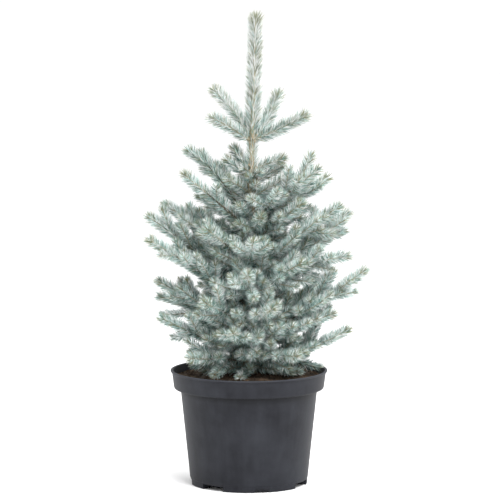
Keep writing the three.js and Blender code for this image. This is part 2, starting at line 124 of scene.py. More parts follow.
class SprucePot(bpy.types.PropertyGroup):
    """The round nursery pot with its wide band under the rim."""

    height: length("Height", "From the ground to the rim", POT_HIGH.z)
    lip_radius: length("Lip radius", "Outside of the thin lip round the rim", POT_HIGH.x)
    lip_height: length("Lip height", "Height of the lip", 3.5 * MM)
    band_height: length("Band height", "From the rim to the foot of the wide band", 35 * MM)
    band_top_radius: length("Band radius at the top", "Outside of the band under its lip", 147.4 * MM)
    band_foot_radius: length("Band radius at the foot", "Outside of the band at its foot", 143.6 * MM)
    body_top_radius: length("Body radius at the top", "Outside of the body under the band", 131 * MM)
    body_foot_radius: length("Body radius at the foot", "Outside of the body above the foot", 113 * MM)
    foot_height: length("Foot height", "Height of the foot ring", 12 * MM)
    wall: length("Wall", "Thickness of the plastic", 2.4 * MM)
    plastic: colour("Plastic", "Colour of the clean plastic", 20, 21, 27)
    # this colour also gives the painted highlight along the rim's top edge
    scuffs_and_rim_highlight: colour("Scuffed plastic", "Colour where the plastic is rubbed or dusty", 74, 77, 84)


class SpruceSoil(bpy.types.PropertyGroup):
    """The potting soil with its crumbs and grit."""

    edge_height: length("Edge height", "Height of the soil at the pot's wall", 204 * MM)
    middle_height: length("Middle height", "Height of the soil round the trunk", 211 * MM)
    lump: length("Lumps", "Height of the broad lumps", 1.6 * MM)
    clod: length("Clods", "Height of the fine clods", 1.5 * MM)
    crumbs: IntProperty(name="Crumbs", description="Loose crumbs on the soil", default=1500, min=0)
    grit: IntProperty(name="Grit", description="Pale specks of grit", default=60, min=0)
    damp: colour("Damp soil", "Colour of the dark soil", 34, 29, 25)
    peat: colour("Peat", "Colour of the drier, browner soil", 108, 88, 70)
    stone: colour("Grit", "Colour of the pale specks", 176, 172, 160)


class SpruceWood(bpy.types.PropertyGroup):
    """The trunk and the older wood of the boughs."""

    lean: length("Lean", "How far the tip stands to the right of the foot", 11 * MM)
    sway: length("Sway", "How far the trunk strays from an even lean", 1.5 * MM)
    relief: length("Relief", "Depth of the bark's scales on the trunk", 0.55 * MM)
    old_bark: colour("Old bark", "Colour of the trunk near the ground", 92, 82, 70)
    grey_bark: colour("Weathered bark", "Colour of the scales on old bark", 140, 131, 113)
    pale_bark: colour("Young bark", "Colour of the trunk's last few seasons", 184, 172, 146)
    leader_bark: colour("Leader bark", "Colour of the top shoot", 192, 180, 146)
    bough_bark: colour("Bough bark", "Colour of the boughs' older wood", 112, 102, 84)


class SpruceCrown(bpy.types.PropertyGroup):
    """The twigs, needles and buds."""

    needle_length: length("Needle length", "Length of a full needle", 17 * MM)
    needle_width: length("Needle width", "Width of a needle", 1.2 * MM)
    needle_spacing: length("Needle spacing", "Twig length for each needle", 0.23 * MM)
    needle_lean: tilt("Needle lean", "Angle between a needle and its twig", 60)
    bud: length("Bud length", "Length of an end bud", 5.5 * MM)
    young_bark: colour("Shoot bark", "Colour of the last season's shoots", 172, 168, 144)
    bud_scales: colour("Bud scales", "Colour of the buds", 116, 98, 72)
    frost: colour("Frosted needles", "Palest needles, most of them on open shoots", 240, 242, 241)
    blue: colour("Blue needles", "Pale needles, next to the palest", 203, 224, 221)
    sea: colour("Sea green needles", "Needles of the middle tone", 156, 184, 177)
    green: colour("Green needles", "Darker needles, most of them older", 100, 129, 122)
    # most deep needles lie near the trunk because of the painted shade in the needles' tone
    deep: colour("Deep needles", "Darkest needles, most of them near the trunk", 48, 71, 67)
    straw: colour("Straw needles", "Needles round the buds", 144, 147, 119)
    silver: colour("Silver needles", "Pale needles of the newest shoots at the top", 209, 214, 209)
    ash: colour("Ash needles", "Darker needles of the newest shoots at the top", 146, 154, 147)


class SpruceStage(bpy.types.PropertyGroup):
    """The floor, the lights and the camera."""

    camera_distance: length("Camera distance", "From the trunk to the camera", 5.93)
    camera_height: length("Camera height", "Height of the camera above the floor", 1.1285)
    camera_pitch: tilt("Camera pitch", "How far the camera looks down", 6.54)
    lens: FloatProperty(name="Lens", description="Focal length in millimetres", default=225.7,
                        subtype="DISTANCE_CAMERA")
    daylight: FloatProperty(name="Daylight", description="Strength of the even light", default=1.04,
                            min=0)
    softbox: FloatProperty(name="Softbox", description="Power of the main soft light in watts",
                           default=122, min=0, subtype="POWER")
    floor: colour("Floor", "Colour of the floor", 255, 255, 255)


class SpruceSettings(bpy.types.PropertyGroup):
    """All the settings of the potted spruce."""

    pot: PointerProperty(type=SprucePot)
    soil: PointerProperty(type=SpruceSoil)
    wood: PointerProperty(type=SpruceWood)
    crown: PointerProperty(type=SpruceCrown)
    stage: PointerProperty(type=SpruceStage)


# ---- Shader nodes ----


class Value:
    """A number that varies over a surface. Sums on it add the Math nodes that work them out."""

    def __init__(self, finish, socket):
        self.finish = finish
        self.socket = socket

    def _sum(self, operation, first, second):
        """The Value that a Math node gives for two numbers."""
        node = self.finish.node("ShaderNodeMath", {"operation": operation}, {0: first, 1: second})
        return Value(self.finish, node.outputs[0])

    def __add__(self, other):
        return self._sum("ADD", self, other)

    def __radd__(self, other):
        return self._sum("ADD", other, self)

    def __sub__(self, other):
        return self._sum("SUBTRACT", self, other)

    def __rsub__(self, other):
        return self._sum("SUBTRACT", other, self)

    def __mul__(self, other):
        return self._sum("MULTIPLY", self, other)

    def __rmul__(self, other):
        return self._sum("MULTIPLY", other, self)


class Finish:
    """A material, and the few ways of adding to it."""

    def __init__(self, name):
        self.material = bpy.data.materials.new(name)
        self.material.use_nodes = True
        self.tree = self.material.node_tree
        self.tree.nodes.clear()
        self.place = self.node("ShaderNodeTexCoord").outputs["Object"]

    def feed(self, socket, value):
        """Links a Value or another node's socket to a socket, or sets the socket to a number."""
        if isinstance(value, Value):
            value = value.socket
        if isinstance(value, bpy.types.NodeSocket):
            self.tree.links.new(value, socket)
        else:
            socket.default_value = value

    def node(self, kind, settings=None, inputs=None):
        """A new node: its settings come first, then the value or link of each named socket."""
        node = self.tree.nodes.new(kind)
        for name, value in (settings or {}).items():
            setattr(node, name, value)
        for name, value in (inputs or {}).items():
            self.feed(node.inputs[name], value)
        return node

    def stretched(self, stretch):
        """Object coordinates scaled along each axis, so that a pattern on them is drawn out."""
        return self.node("ShaderNodeMapping", None,
                         {"Vector": self.place, "Scale": stretch}).outputs[0]

    def noise(self, scale, detail=2.0, roughness=0.5, stretch=(1, 1, 1), distortion=0.0):
        """A cloudy value from 0 to 1 with scale clouds to a metre."""
        cloud = self.node("ShaderNodeTexNoise", None, {
            "Vector": self.stretched(stretch), "Scale": scale, "Detail": detail,
            "Roughness": roughness, "Distortion": distortion})
        return Value(self, cloud.outputs["Fac"])

    def cells(self, scale, stretch=(1, 1, 1)):
        """The distance to the nearest of scattered points, scale of them to a metre."""
        cell = self.node("ShaderNodeTexVoronoi", None,
                         {"Vector": self.stretched(stretch), "Scale": scale})
        return Value(self, cell.outputs["Distance"])

    def height(self):
        """The height above the ground, in metres."""
        parts = self.node("ShaderNodeSeparateXYZ", None, {0: self.place})
        return Value(self, parts.outputs["Z"])

    def ramp(self, value, low, high):
        """0 below low and 1 above high, with an even slope between."""
        spread = self.node("ShaderNodeMapRange", None, {
            "Value": value, "From Min": low, "From Max": high})
        return Value(self, spread.outputs[0])

    def mix(self, share, first, second):
        """A colour between two by share, each a link or a colour's three levels."""
        node = self.node("ShaderNodeMix", {"data_type": "RGBA"})
        sockets = {socket.identifier: socket for socket in (*node.inputs, *node.outputs)}
        self.feed(sockets["Factor_Float"], share)
        for name, tint in (("A_Color", first), ("B_Color", second)):
            is_link = isinstance(tint, bpy.types.NodeSocket)
            self.feed(sockets[name], tint if is_link else (*tint, 1))
        return sockets["Result_Color"]

    def bump(self, height, distance, strength=1.0):
        """A relief for a shader's Normal: height is a Value, distance its full depth in metres."""
        node = self.node("ShaderNodeBump", None, {
            "Height": height, "Distance": distance, "Strength": strength})
        return node.outputs[0]

    def surface(self, **inputs):
        """The finished surface. Words with spaces are written with an underscore."""
        named = {name.replace("_", " "): value for name, value in inputs.items()}
        shader = self.node("ShaderNodeBsdfPrincipled", None, named)
        self.node("ShaderNodeOutputMaterial", None, {"Surface": shader.outputs[0]})
        return self.material


# ---- Meshes ----


def add_piece(name, points, faces, material, stands_for, slot, smooth=True):
    """A mesh piece from an array of points and a list of face arrays, joined to the frame."""
    corners = np.concatenate([rows.ravel() for rows in faces]).astype(np.int32)
    sizes = np.concatenate([np.full(len(rows), rows.shape[1]) for rows in faces])
    starts = np.cumsum(sizes) - sizes
    mesh = bpy.data.meshes.new(name)
    mesh.vertices.add(len(points))
    mesh.vertices.foreach_set("co", np.asarray(points, np.float32).ravel())
    mesh.loops.add(len(corners))
    mesh.loops.foreach_set("vertex_index", corners)
    mesh.polygons.add(len(sizes))
    mesh.polygons.foreach_set("loop_start", starts.astype(np.int32))
    mesh.polygons.foreach_set("use_smooth", np.full(len(sizes), smooth))
    mesh.update(calc_edges=True)
    mesh.validate()
    mesh.materials.append(material)
    piece = bpy.data.objects.new(name, mesh)
    bpy.context.scene.collection.objects.link(piece)
    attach(piece, "root")
    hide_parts(*stands_for)


def grid_quads(rows, columns):
    """The quads of a tube of rows rings with columns points each: neighbours round a ring and
    along the tube, so that they face outwards where rings run anticlockwise seen from the end."""
    row = np.arange(rows - 1)[:, None]
    column = np.arange(columns)[None, :]
    following = (column + 1) % columns
    corners = [row * columns + column, row * columns + following,
               (row + 1) * columns + following, (row + 1) * columns + column]
    return np.stack(corners, -1).reshape(-1, 4)


def closed_tube(rings):
    """Points and faces of a tube from an array of rings, closed by a fan at each end."""
    rows, columns = rings.shape[:2]
    ends = np.stack([rings[0].mean(0), rings[-1].mean(0)])
    points = np.concatenate([rings.reshape(-1, 3), ends])
    column = np.arange(columns)
    following = (column + 1) % columns
    foot = np.stack([following, column, np.full(columns, rows * columns)], -1)
    last = (rows - 1) * columns
    top = np.stack([last + column, last + following, np.full(columns, rows * columns + 1)], -1)
    return points, [grid_quads(rows, columns), np.concatenate([foot, top])]


def joined(parts):
    """One array of points and one list of face arrays from many (points, faces) parts."""
    points, quads, triangles, count = [], [], [], 0
    for part_points, part_faces in parts:
        points.append(part_points)
        for rows in part_faces:
            (quads if rows.shape[1] == 4 else triangles).append(rows + count)
        count += len(part_points)
    faces = [np.concatenate(rows) for rows in (quads, triangles) if rows]
    return np.concatenate(points), faces


def around(radius, angle, height):
    """Points by their distance from the Z axis, their angle round it from +X, and their height."""
    return np.stack([radius * np.cos(angle), radius * np.sin(angle), height], -1)


def rounded(profile, size, steps=4):
    """A profile whose corners give way to short quadratic curves that start and end size away."""
    places = np.array(profile, float)
    share = np.linspace(0, 1, steps + 1)[:, None]
    line = [places[:1]]
    for before, corner, after in zip(places[:-2], places[1:-1], places[2:]):
        cuts = []
        for other in (before, after):
            gap = np.linalg.norm(other - corner)
            cuts.append(corner + (other - corner) * min(size, 0.45 * gap) / gap)
        line.append((1 - share) ** 2 * cuts[0] + 2 * share * (1 - share) * corner
                    + share ** 2 * cuts[1])
    line.append(places[-1:])
    return np.concatenate(line)


def waves(places, wavelength, seed, count=24):
    """A smooth random relief: the sum of many sine waves of about one wavelength, each with its own
    heading and phase, divided by the square root of their number and cut off at -1 and 1."""
    draws = np.random.default_rng(seed)
    headings = draws.normal(size=(count, places.shape[-1]))
    headings /= np.linalg.norm(headings, axis=1)[:, None]
    turns = 2 * math.pi / (wavelength * draws.uniform(0.7, 1.5, count))
    phases = draws.uniform(0, 2 * math.pi, count)
    angles = places @ (headings * turns[:, None]).T + phases
    return np.clip(np.sin(angles).sum(-1) / math.sqrt(count), -1, 1)


# ---- Pot ----

FOOT_NOTCHES = 7
FIRST_NOTCH = math.radians(-90 - 38.5)
TALL_NOTCH = (49 * MM, 9.5 * MM)  # width and height
LOW_NOTCH = (29 * MM, 2.6 * MM)
NOTCH_PAIR = 0.0012  # radians from a notch's side to the columns before and after it
POT_SIDES = 240
HOLLOW_INNER = 60 * MM  # the ring under the floor that is raised off the ground
HOLLOW_OUTER = 96 * MM
HOLLOW_HEIGHT = 10 * MM
HOLLOW_SLOPE = 3 * MM  # how far in the ring's sides lean
INNER_STEP = 4 * MM  # the inside floor goes up this far in from the ring
FOOT_INSET = 1.2 * MM  # of the foot ring behind the body
POLE = 0.5 * MM  # radius of the small round that closes a turned shape
EDGE = 1.1 * MM  # how far from a corner its rounding starts
FOOT_EDGE = (0.8 * MM, 0.5 * MM)  # the top of the foot: how far in and how high its slope is
BAND_EDGE = (1.2 * MM, 2.5 * MM)  # and the same under the band
LIP_SLOPE = 0.6 * MM  # height of the slope under the lip


def notches(radius):
    """Each notch's middle angle, half the angle that it spans at a radius, and its height."""
    for i in range(FOOT_NOTCHES):
        width, height = LOW_NOTCH if i % 2 else TALL_NOTCH
        yield FIRST_NOTCH + 2 * math.pi * i / FOOT_NOTCHES, width / 2 / radius, height


def notch_height(angles, radius):
    """How high the foot is cut away at each angle: the height of the notch that is there, or 0."""
    cut = np.zeros_like(angles)
    for middle, half, height in notches(radius):
        away = (angles - middle + math.pi) % (2 * math.pi) - math.pi
        cut = np.where(np.abs(away) < half, height, cut)
    return cut


def notched_angles(radius):
    """Angles of the pot's columns: even ones, and a close pair at each side of each notch."""
    angles = [np.arange(POT_SIDES) * 2 * math.pi / POT_SIDES]
    for middle, half, _ in notches(radius):
        for side in (-half, half):
            angles.append((middle + side + np.array([-NOTCH_PAIR, NOTCH_PAIR])) % (2 * math.pi))
    return np.unique(np.concatenate(angles).round(6))


def pot_profile(size):
    """Radius and height from the middle of the underside, out, up, over the rim and back inside."""
    foot_top = size.foot_height
    band_foot = size.height - size.band_height
    lip_foot = size.height - size.lip_height
    rim = size.band_top_radius - size.wall
    inside_foot = band_foot + size.wall
    floor = HOLLOW_HEIGHT + size.wall
    corners = [
        (POLE, 0),
        (HOLLOW_INNER, 0),
        (HOLLOW_INNER + HOLLOW_SLOPE, HOLLOW_HEIGHT),
        (HOLLOW_OUTER - HOLLOW_SLOPE, HOLLOW_HEIGHT),
        (HOLLOW_OUTER, 0),
        (size.body_foot_radius - FOOT_INSET, 0),
        (size.body_foot_radius - FOOT_EDGE[0], foot_top),
        (size.body_foot_radius, foot_top + FOOT_EDGE[1]),
        (size.body_top_radius, band_foot),
        (size.band_foot_radius - BAND_EDGE[0], band_foot),
        (size.band_foot_radius, band_foot + BAND_EDGE[1]),
        (size.band_top_radius, lip_foot),
        (size.lip_radius, lip_foot + LIP_SLOPE),
        (size.lip_radius, size.height),
        (rim, size.height),
        (size.band_foot_radius - size.wall, inside_foot),
        (size.body_top_radius - size.wall, inside_foot),
        (size.body_foot_radius - size.wall, floor),
        (HOLLOW_INNER, floor),
        (HOLLOW_INNER - INNER_STEP, size.wall),
        (POLE, size.wall),
    ]
    return rounded(corners, EDGE)


def plastic_finish(size):
    """Matt moulded plastic: faint upright streaks, a fine orange-peel grain, scuffs, specks of dust
    in patches, a painted highlight along the rim's top edge, and painted shade on the body just
    under the band."""
    finish = Finish("pot_plastic")
    clouds = finish.noise(14, detail=4, roughness=0.6)
    streaks = finish.noise(60, detail=3, roughness=0.6, stretch=(1, 1, 0.06))
    grain = finish.noise(900, detail=2)
    specks = 1 - finish.ramp(finish.cells(260), 0.05, 0.11)
    dusty = finish.ramp(finish.noise(22, detail=3), 0.5, 0.68)
    rubbed = finish.noise(300, detail=3, roughness=0.7, stretch=(1, 1, 0.12), distortion=0.6)
    scratches = finish.ramp(rubbed, 0.69, 0.74)
    tone = finish.ramp(clouds * 0.75 + streaks * 0.25, 0.34, 0.68)
    height = finish.height()
    # painted highlight: the rim's top edge is made paler, as if it caught the light
    painted_rim_highlight = finish.ramp(height, size.height - 2.4 * MM, size.height - 1.2 * MM)
    band_foot = size.height - size.band_height
    # painted shade: the body just under the band is darkened towards a third of the plastic colour
    painted_band_shade = (finish.ramp(height, band_foot - 13 * MM, band_foot - 2 * MM)
                 * (1 - finish.ramp(height, band_foot, band_foot + 2 * MM)))
    base = finish.mix(tone * 0.26 + specks * dusty * 0.6 + scratches * 0.2 + painted_rim_highlight * 0.3,
                      size.plastic, size.scuffs_and_rim_highlight)
    base = finish.mix(painted_band_shade * 0.7, base, tuple(0.3 * level for level in size.plastic))
    relief = grain * 0.35 + streaks * 0.35 + clouds * 0.3
    return finish.surface(
        Base_Color=base,
        Roughness=finish.ramp(clouds * 0.5 + grain * 0.5, 0.1, 0.9) * 0.16 + 0.46,
        Specular_IOR_Level=0.18,
        Normal=finish.bump(relief, 0.35 * MM, 0.7))


class SPRUCE_OT_pot(bpy.types.Operator):
    """Build the nursery pot: a profile turned about Z, with its foot cut away at seven notches"""

    bl_idname = "spruce.pot"
    bl_label = "Pot"

    def execute(self, context):
        size = context.scene.spruce.pot
        foot_radius = size.body_foot_radius - FOOT_INSET
        angles = notched_angles(foot_radius)
        profile = pot_profile(size)
        radius, height = profile[:, :1], profile[:, 1:]
        in_foot = radius > HOLLOW_OUTER - HOLLOW_SLOPE - 2 * MM
        height = np.maximum(height, np.where(in_foot, notch_height(angles, foot_radius), 0))
        shell = closed_tube(around(radius, angles, height))
        add_piece("pot_shell", *shell, plastic_finish(size), ["pot"], "pot")
        return {"FINISHED"}


# ---- Soil ----

SOIL_FLAT = 26 * MM  # radius of the level place under the trunk
SOIL_GAP = 0.7 * MM  # between the soil and the pot
SOIL_SIDES = 360
SOIL_RINGS = 110
CRUMB_SIZES = (0.9 * MM, 5 * MM)
GRIT_SIZES = (0.8 * MM, 2.2 * MM)
TOP_INSET = 0.8 * MM  # of the soil's top behind its edge
CRUMB_SEED = 21
GRIT_SEED = 22
CLOD_SEED = 5
CLOD_MEAN = 0.35  # height of the clods that counts as level ground, as a share of the setting
LUMP_FLATNESS = 0.8
LUMP_LIFT = 0.15  # of a lump's middle over the ground, as a share of its size
ICOSAHEDRON = np.array([[0, 1, 1.618], [0, -1, 1.618], [0, 1, -1.618], [0, -1, -1.618],
                        [1, 1.618, 0], [-1, 1.618, 0], [1, -1.618, 0], [-1, -1.618, 0],
                        [1.618, 0, 1], [1.618, 0, -1], [-1.618, 0, 1], [-1.618, 0, -1]]) / 1.902
ICOSAHEDRON_FACES = np.array([[0, 1, 8], [0, 8, 4], [0, 4, 5], [0, 5, 10], [0, 10, 1], [1, 6, 8],
                              [8, 6, 9], [8, 9, 4], [4, 9, 2], [4, 2, 5], [5, 2, 11], [5, 11, 10],
                              [10, 11, 7], [10, 7, 1], [1, 7, 6], [3, 9, 6], [3, 2, 9], [3, 11, 2],
                              [3, 7, 11], [3, 6, 7]])


def soil_height(radius, angle, soil, rim):
    """The mound with its broad lumps: a slope down from the middle to the edge, plus two sine
    waves round the pot that die away at the trunk and at the wall."""
    outward = np.clip((radius - SOIL_FLAT) / (rim - SOIL_FLAT), 0, 1)
    slope = soil.middle_height + (soil.edge_height - soil.middle_height) * outward
    lumps = np.sin(3 * angle + radius / (13 * MM)) + 0.7 * np.sin(7 * angle - radius / (9 * MM))
    return slope + soil.lump * lumps * np.sin(math.pi * outward)


def clods(radius, angle, soil, rim):
    """The soil with its fine clods: rounded bumps of two sizes stand on the mound."""
    places = np.stack([radius * np.cos(angle), radius * np.sin(angle)], -1)
    coarse = np.abs(waves(places, 22 * MM, CLOD_SEED))
    fine = np.abs(waves(places, 8 * MM, CLOD_SEED + 1, 32))
    bumps = 0.65 * coarse + 0.45 * fine
    return soil_height(radius, angle, soil, rim) + soil.clod * (bumps - CLOD_MEAN)


def soil_finish(soil):
    """Crumbly peat: dark damp soil with drier brown patches and a coarse grain."""
    finish = Finish("potting_soil")
    patches = finish.ramp(finish.noise(28, detail=4, roughness=0.6), 0.42, 0.66)
    crumbs = finish.noise(420, detail=4, roughness=0.7)
    threads = finish.noise(520, detail=3, roughness=0.6, stretch=(1, 0.2, 1), distortion=1.2)
    fibres = finish.ramp(threads, 0.6, 0.7)
    base = finish.mix(patches * 0.7 + crumbs * 0.3 + fibres * 0.35, soil.damp, soil.peat)
    relief = crumbs * 0.6 + finish.cells(340) * 0.6
    return finish.surface(Base_Color=base, Roughness=0.95, Specular_IOR_Level=0.25,
                          Normal=finish.bump(relief, 1.2 * MM))


def grit_finish(soil):
    """Pale grit with a rough broken face."""
    finish = Finish("pale_grit")
    grain = finish.noise(700, detail=3)
    base = finish.mix(grain * 0.6, soil.stone, soil.peat)
    return finish.surface(Base_Color=base, Roughness=0.85, Normal=finish.bump(grain, 0.3 * MM))


def scattered_lumps(count, sizes, seed, soil, rim):
    """Loose lumps on the soil: each is an icosahedron with its points pushed in or out, squashed,
    turned at random and sunk a little into the ground under it. Most are near the lower size."""
    low, high = sizes
    draws = np.random.default_rng(seed)
    radius = (rim - 4 * MM) * np.sqrt(draws.uniform(0.02, 1, count))
    angle = draws.uniform(0, 2 * math.pi, count)
    size = low + (high - low) * draws.uniform(0, 1, count) ** 2.5
    shape = ICOSAHEDRON[None] * draws.uniform(0.7, 1.2, (count, 12, 1))
    turn = np.linalg.qr(draws.normal(size=(count, 3, 3)))[0]
    turn *= np.sign(np.linalg.det(turn))[:, None, None]
    shape = (shape * draws.uniform(0.55, 1.1, (count, 1, 3))) @ turn
    shape[..., 2] *= LUMP_FLATNESS
    middle = around(radius, angle, clods(radius, angle, soil, rim) + LUMP_LIFT * size)
    points = middle[:, None] + shape * size[:, None, None]
    faces = ICOSAHEDRON_FACES[None] + 12 * np.arange(count)[:, None, None]
    return points.reshape(-1, 3), [faces.reshape(-1, 3)]


class SPRUCE_OT_soil(bpy.types.Operator):
    """Build the potting soil, its loose crumbs and its pale grit"""

    bl_idname = "spruce.soil"
    bl_label = "Soil"

    def execute(self, context):
        soil = context.scene.spruce.soil
        pot = context.scene.spruce.pot
        rim = pot.band_top_radius - pot.wall
        band_foot = pot.height - pot.band_height + pot.wall
        slope = (pot.band_top_radius - pot.band_foot_radius) / (pot.height - band_foot)
        edge = pot.band_foot_radius - pot.wall + slope * (soil.edge_height - band_foot) - SOIL_GAP
        step = band_foot + SOIL_GAP
        floor = HOLLOW_HEIGHT + pot.wall + SOIL_GAP
        side = np.array([
            (POLE, pot.wall + SOIL_GAP),
            (HOLLOW_INNER - INNER_STEP - SOIL_GAP, pot.wall + SOIL_GAP),
            (HOLLOW_INNER - SOIL_GAP, floor),
            (pot.body_foot_radius - pot.wall - SOIL_GAP, floor),
            (pot.body_top_radius - pot.wall - SOIL_GAP, step),
            (pot.band_foot_radius - pot.wall - SOIL_GAP, step),
            (edge, soil.edge_height),
        ])
        angles = np.arange(SOIL_SIDES) * 2 * math.pi / SOIL_SIDES
        top_radius = np.linspace(edge - TOP_INSET, POLE, SOIL_RINGS)
        top = clods(top_radius[:, None], angles[None], soil, rim)
        radius = np.concatenate([side[:, 0], top_radius])
        height = np.concatenate([np.repeat(side[:, 1:], len(angles), 1), top])
        ground = closed_tube(around(radius[:, None], angles, height))
        crumbs = scattered_lumps(soil.crumbs, CRUMB_SIZES, CRUMB_SEED, soil, edge)
        add_piece("soil_bed", *joined([ground, crumbs]), soil_finish(soil), ["soil"], "soil")
        grit = scattered_lumps(soil.grit, GRIT_SIZES, GRIT_SEED, soil, edge)
        add_piece("soil_grit", *grit, grit_finish(soil), ["soil"], "soil", smooth=False)
        return {"FINISHED"}


# ---- Trunk ----

# Radius at heights above the soil, in millimetres, from the flared foot to the bud.
TRUNK_RADII = np.array([[0, 16], [6, 12.5], [16, 10.4], [50, 9.4], [130, 8.2], [260, 6.9],
                        [385, 5.6], [442, 4.9], [560, 3.6], [640, 2.5], [674, 2.1], [679, 2.9],
                        [686, 0.4]]) * MM
TRUNK_FOOT = TRUNK_LOW.z
TRUNK_HEIGHT = TRUNK_HIGH.z - TRUNK_LOW.z
LEADER_FOOT = 676 * MM  # where the top shoot's needles start
LEADER_TOP = 890 * MM
CROWN_FOOT = 0.3  # how far up the crown a place is, as a share, is told from this height
CROWN_SPAN = 0.5  # to this much above it
TRUNK_SIDES = 40
TRUNK_RINGS = 460
SWAYS = 1.3  # swings of the trunk from side to side on its way up
FLUTES = 5  # round the flared foot
FLUTE_DEPTH = 0.1  # as a share of the radius, at the soil
FLUTE_HEIGHT = 14 * MM  # over which they grow fainter
OLD_BARK_HEIGHT = 520 * MM  # over which the bark grows smoother
SMOOTHEST = 0.18  # the least share of the bark's relief
DEEPEST = 0.12  # and the most of it, as a share of the radius
TRUNK_SEED = 31


def lean_at(height, wood):
    """How far the trunk's middle stands to the right: an even lean with a slight sway."""
    along = (height - TRUNK_FOOT) / TRUNK_HEIGHT
    return wood.lean * along + wood.sway * np.sin(2 * math.pi * SWAYS * along)


def trunk_middle(height, wood):
    """The point in the trunk's middle at a height, or an array of them."""
    return np.stack(np.broadcast_arrays(lean_at(height, wood), 0.0, height), -1)


def trunk_radius(height):
    """The trunk's radius at a height, by straight lines between the named ones."""
    return np.interp(height - TRUNK_FOOT, TRUNK_RADII[:, 0], TRUNK_RADII[:, 1])


def bark_relief(height, angle, seed):
    """Flaky bark from -1 to 1: scales longer than they are wide, parted by narrow cracks."""
    round_it = np.stack([np.cos(angle) * 7 * MM, np.sin(angle) * 7 * MM, height * 0.5], -1)
    scales = 1 - 2 * np.abs(waves(round_it, 7 * MM, seed, 32)) ** 0.6
    return 0.7 * scales + 0.3 * waves(round_it, 2.5 * MM, seed + 1, 32)


def trunk_finish(wood):
    """Bark by height: weathered brown scales low down, pale smooth bark above, and a straw
    coloured shoot at the top, all with fine flakes."""
    finish = Finish("trunk_bark")
    height = finish.height()
    flakes = finish.noise(420, detail=4, roughness=0.65, stretch=(1, 1, 0.4))
    patches = finish.noise(90, detail=3, roughness=0.6, stretch=(1, 1, 0.3))
    old = finish.mix(finish.ramp(patches + flakes * 0.4, 0.45, 0.9), wood.old_bark, wood.grey_bark)
    young = finish.mix(flakes * 0.55, wood.pale_bark, wood.old_bark)
    top = finish.mix(flakes * 0.4, wood.leader_bark, wood.pale_bark)
    lower = finish.mix(finish.ramp(height + patches * 0.08, 0.47, 0.6), old, young)
    base = finish.mix(finish.ramp(height, 0.66, 0.72), lower, top)
    relief = flakes * 0.6 + finish.cells(520, stretch=(1, 1, 0.35)) * 0.5
    return finish.surface(Base_Color=base, Roughness=0.82, Specular_IOR_Level=0.3,
                          Normal=finish.bump(relief, 0.5 * MM))


class SPRUCE_OT_trunk(bpy.types.Operator):
    """Build the trunk: rings up its lean, with flutes at the flared foot and flaky bark"""

    bl_idname = "spruce.trunk"
    bl_label = "Trunk"

    def execute(self, context):
        wood = context.scene.spruce.wood
        heights = TRUNK_FOOT + TRUNK_HEIGHT * np.linspace(0, 1, TRUNK_RINGS)
        angles = np.arange(TRUNK_SIDES) * 2 * math.pi / TRUNK_SIDES
        height, angle = np.meshgrid(heights, angles, indexing="ij")
        radius = trunk_radius(height)
        rise = height - TRUNK_FOOT
        flutes = FLUTE_DEPTH * np.exp(-rise / FLUTE_HEIGHT) * np.cos(FLUTES * angle + 0.8)
        age = np.clip(1.1 - rise / OLD_BARK_HEIGHT, SMOOTHEST, 1)
        depth = np.minimum(wood.relief * age, DEEPEST * radius)
        radius = radius * (1 + flutes) + depth * bark_relief(height, angle, TRUNK_SEED)
        rings = around(radius, angle, height) + lean_at(height, wood)[..., None] * RIGHT
        add_piece("trunk_wood", *closed_tube(rings), trunk_finish(wood), ["trunk"], "bark")
        return {"FINISHED"}


# ---- How the crown grows: the frame's own rule ----

CLEARANCE = 0.3 * MM  # between a mass of twigs and the limb or trunk that it grows on
SWAY = 0.05  # how far a bough's knee may stand to one side, as a share of its reach
SEASON_SHRINK = 0.93  # each season's growth, as a share of the next one's
FORK_SPREAD = 8 * MM  # side twigs of one season start within this length
SIDE_SHARE = 0.66  # length of a side twig, as a share of what lies beyond its fork
OVER_SHARE = 0.53  # the same for an upper or lower one
SHARE_SPREAD = 0.2  # how much the share varies either way, as a share of it
SIDE_ANGLE = 50  # degrees between a side twig and its parent
OVER_ANGLE = 38
ANGLE_SPREAD = 9
FORWARD = 0.16  # side twigs bend towards the bough's tip
UPWARD = 0.1
SHORTEST = 24 * MM
SHORTEST_OVER = 45 * MM
LONGEST = 105 * MM
MASS_GAP = 9 * MM  # least gap between twigs of two masses
OWN_GAP = 7 * MM  # and between twigs of one mass
GROUND_GAP = 1 * MM  # least height of twigs above the soil or the pot
WOOD_GAP = 1 * MM  # and least distance from the trunk's bark
RIM_GAP = 5 * MM  # from this far inside the pot's wall outwards, twigs keep above its rim
SEED = 447

STEM_RADIUS = 3.4 * MM  # of the solid twigs, which keep room for the thinner ones here
SIDE_RADIUS = 2.6 * MM
TIP_RADIUS = 1.8 * MM
TIP_POINT = 12 * MM  # how far the end needles reach past the twig
BARE_FOOT = 6 * MM  # bare wood between the trunk or a fork and the first needles
LIMB_RADII = (4.6 * MM, 3.4 * MM)
LIMB_SECTIONS = 4
LEADER_SIDES = 5
LEADER_SECTIONS = 12
LEADER_SKIN = 0.9 * MM

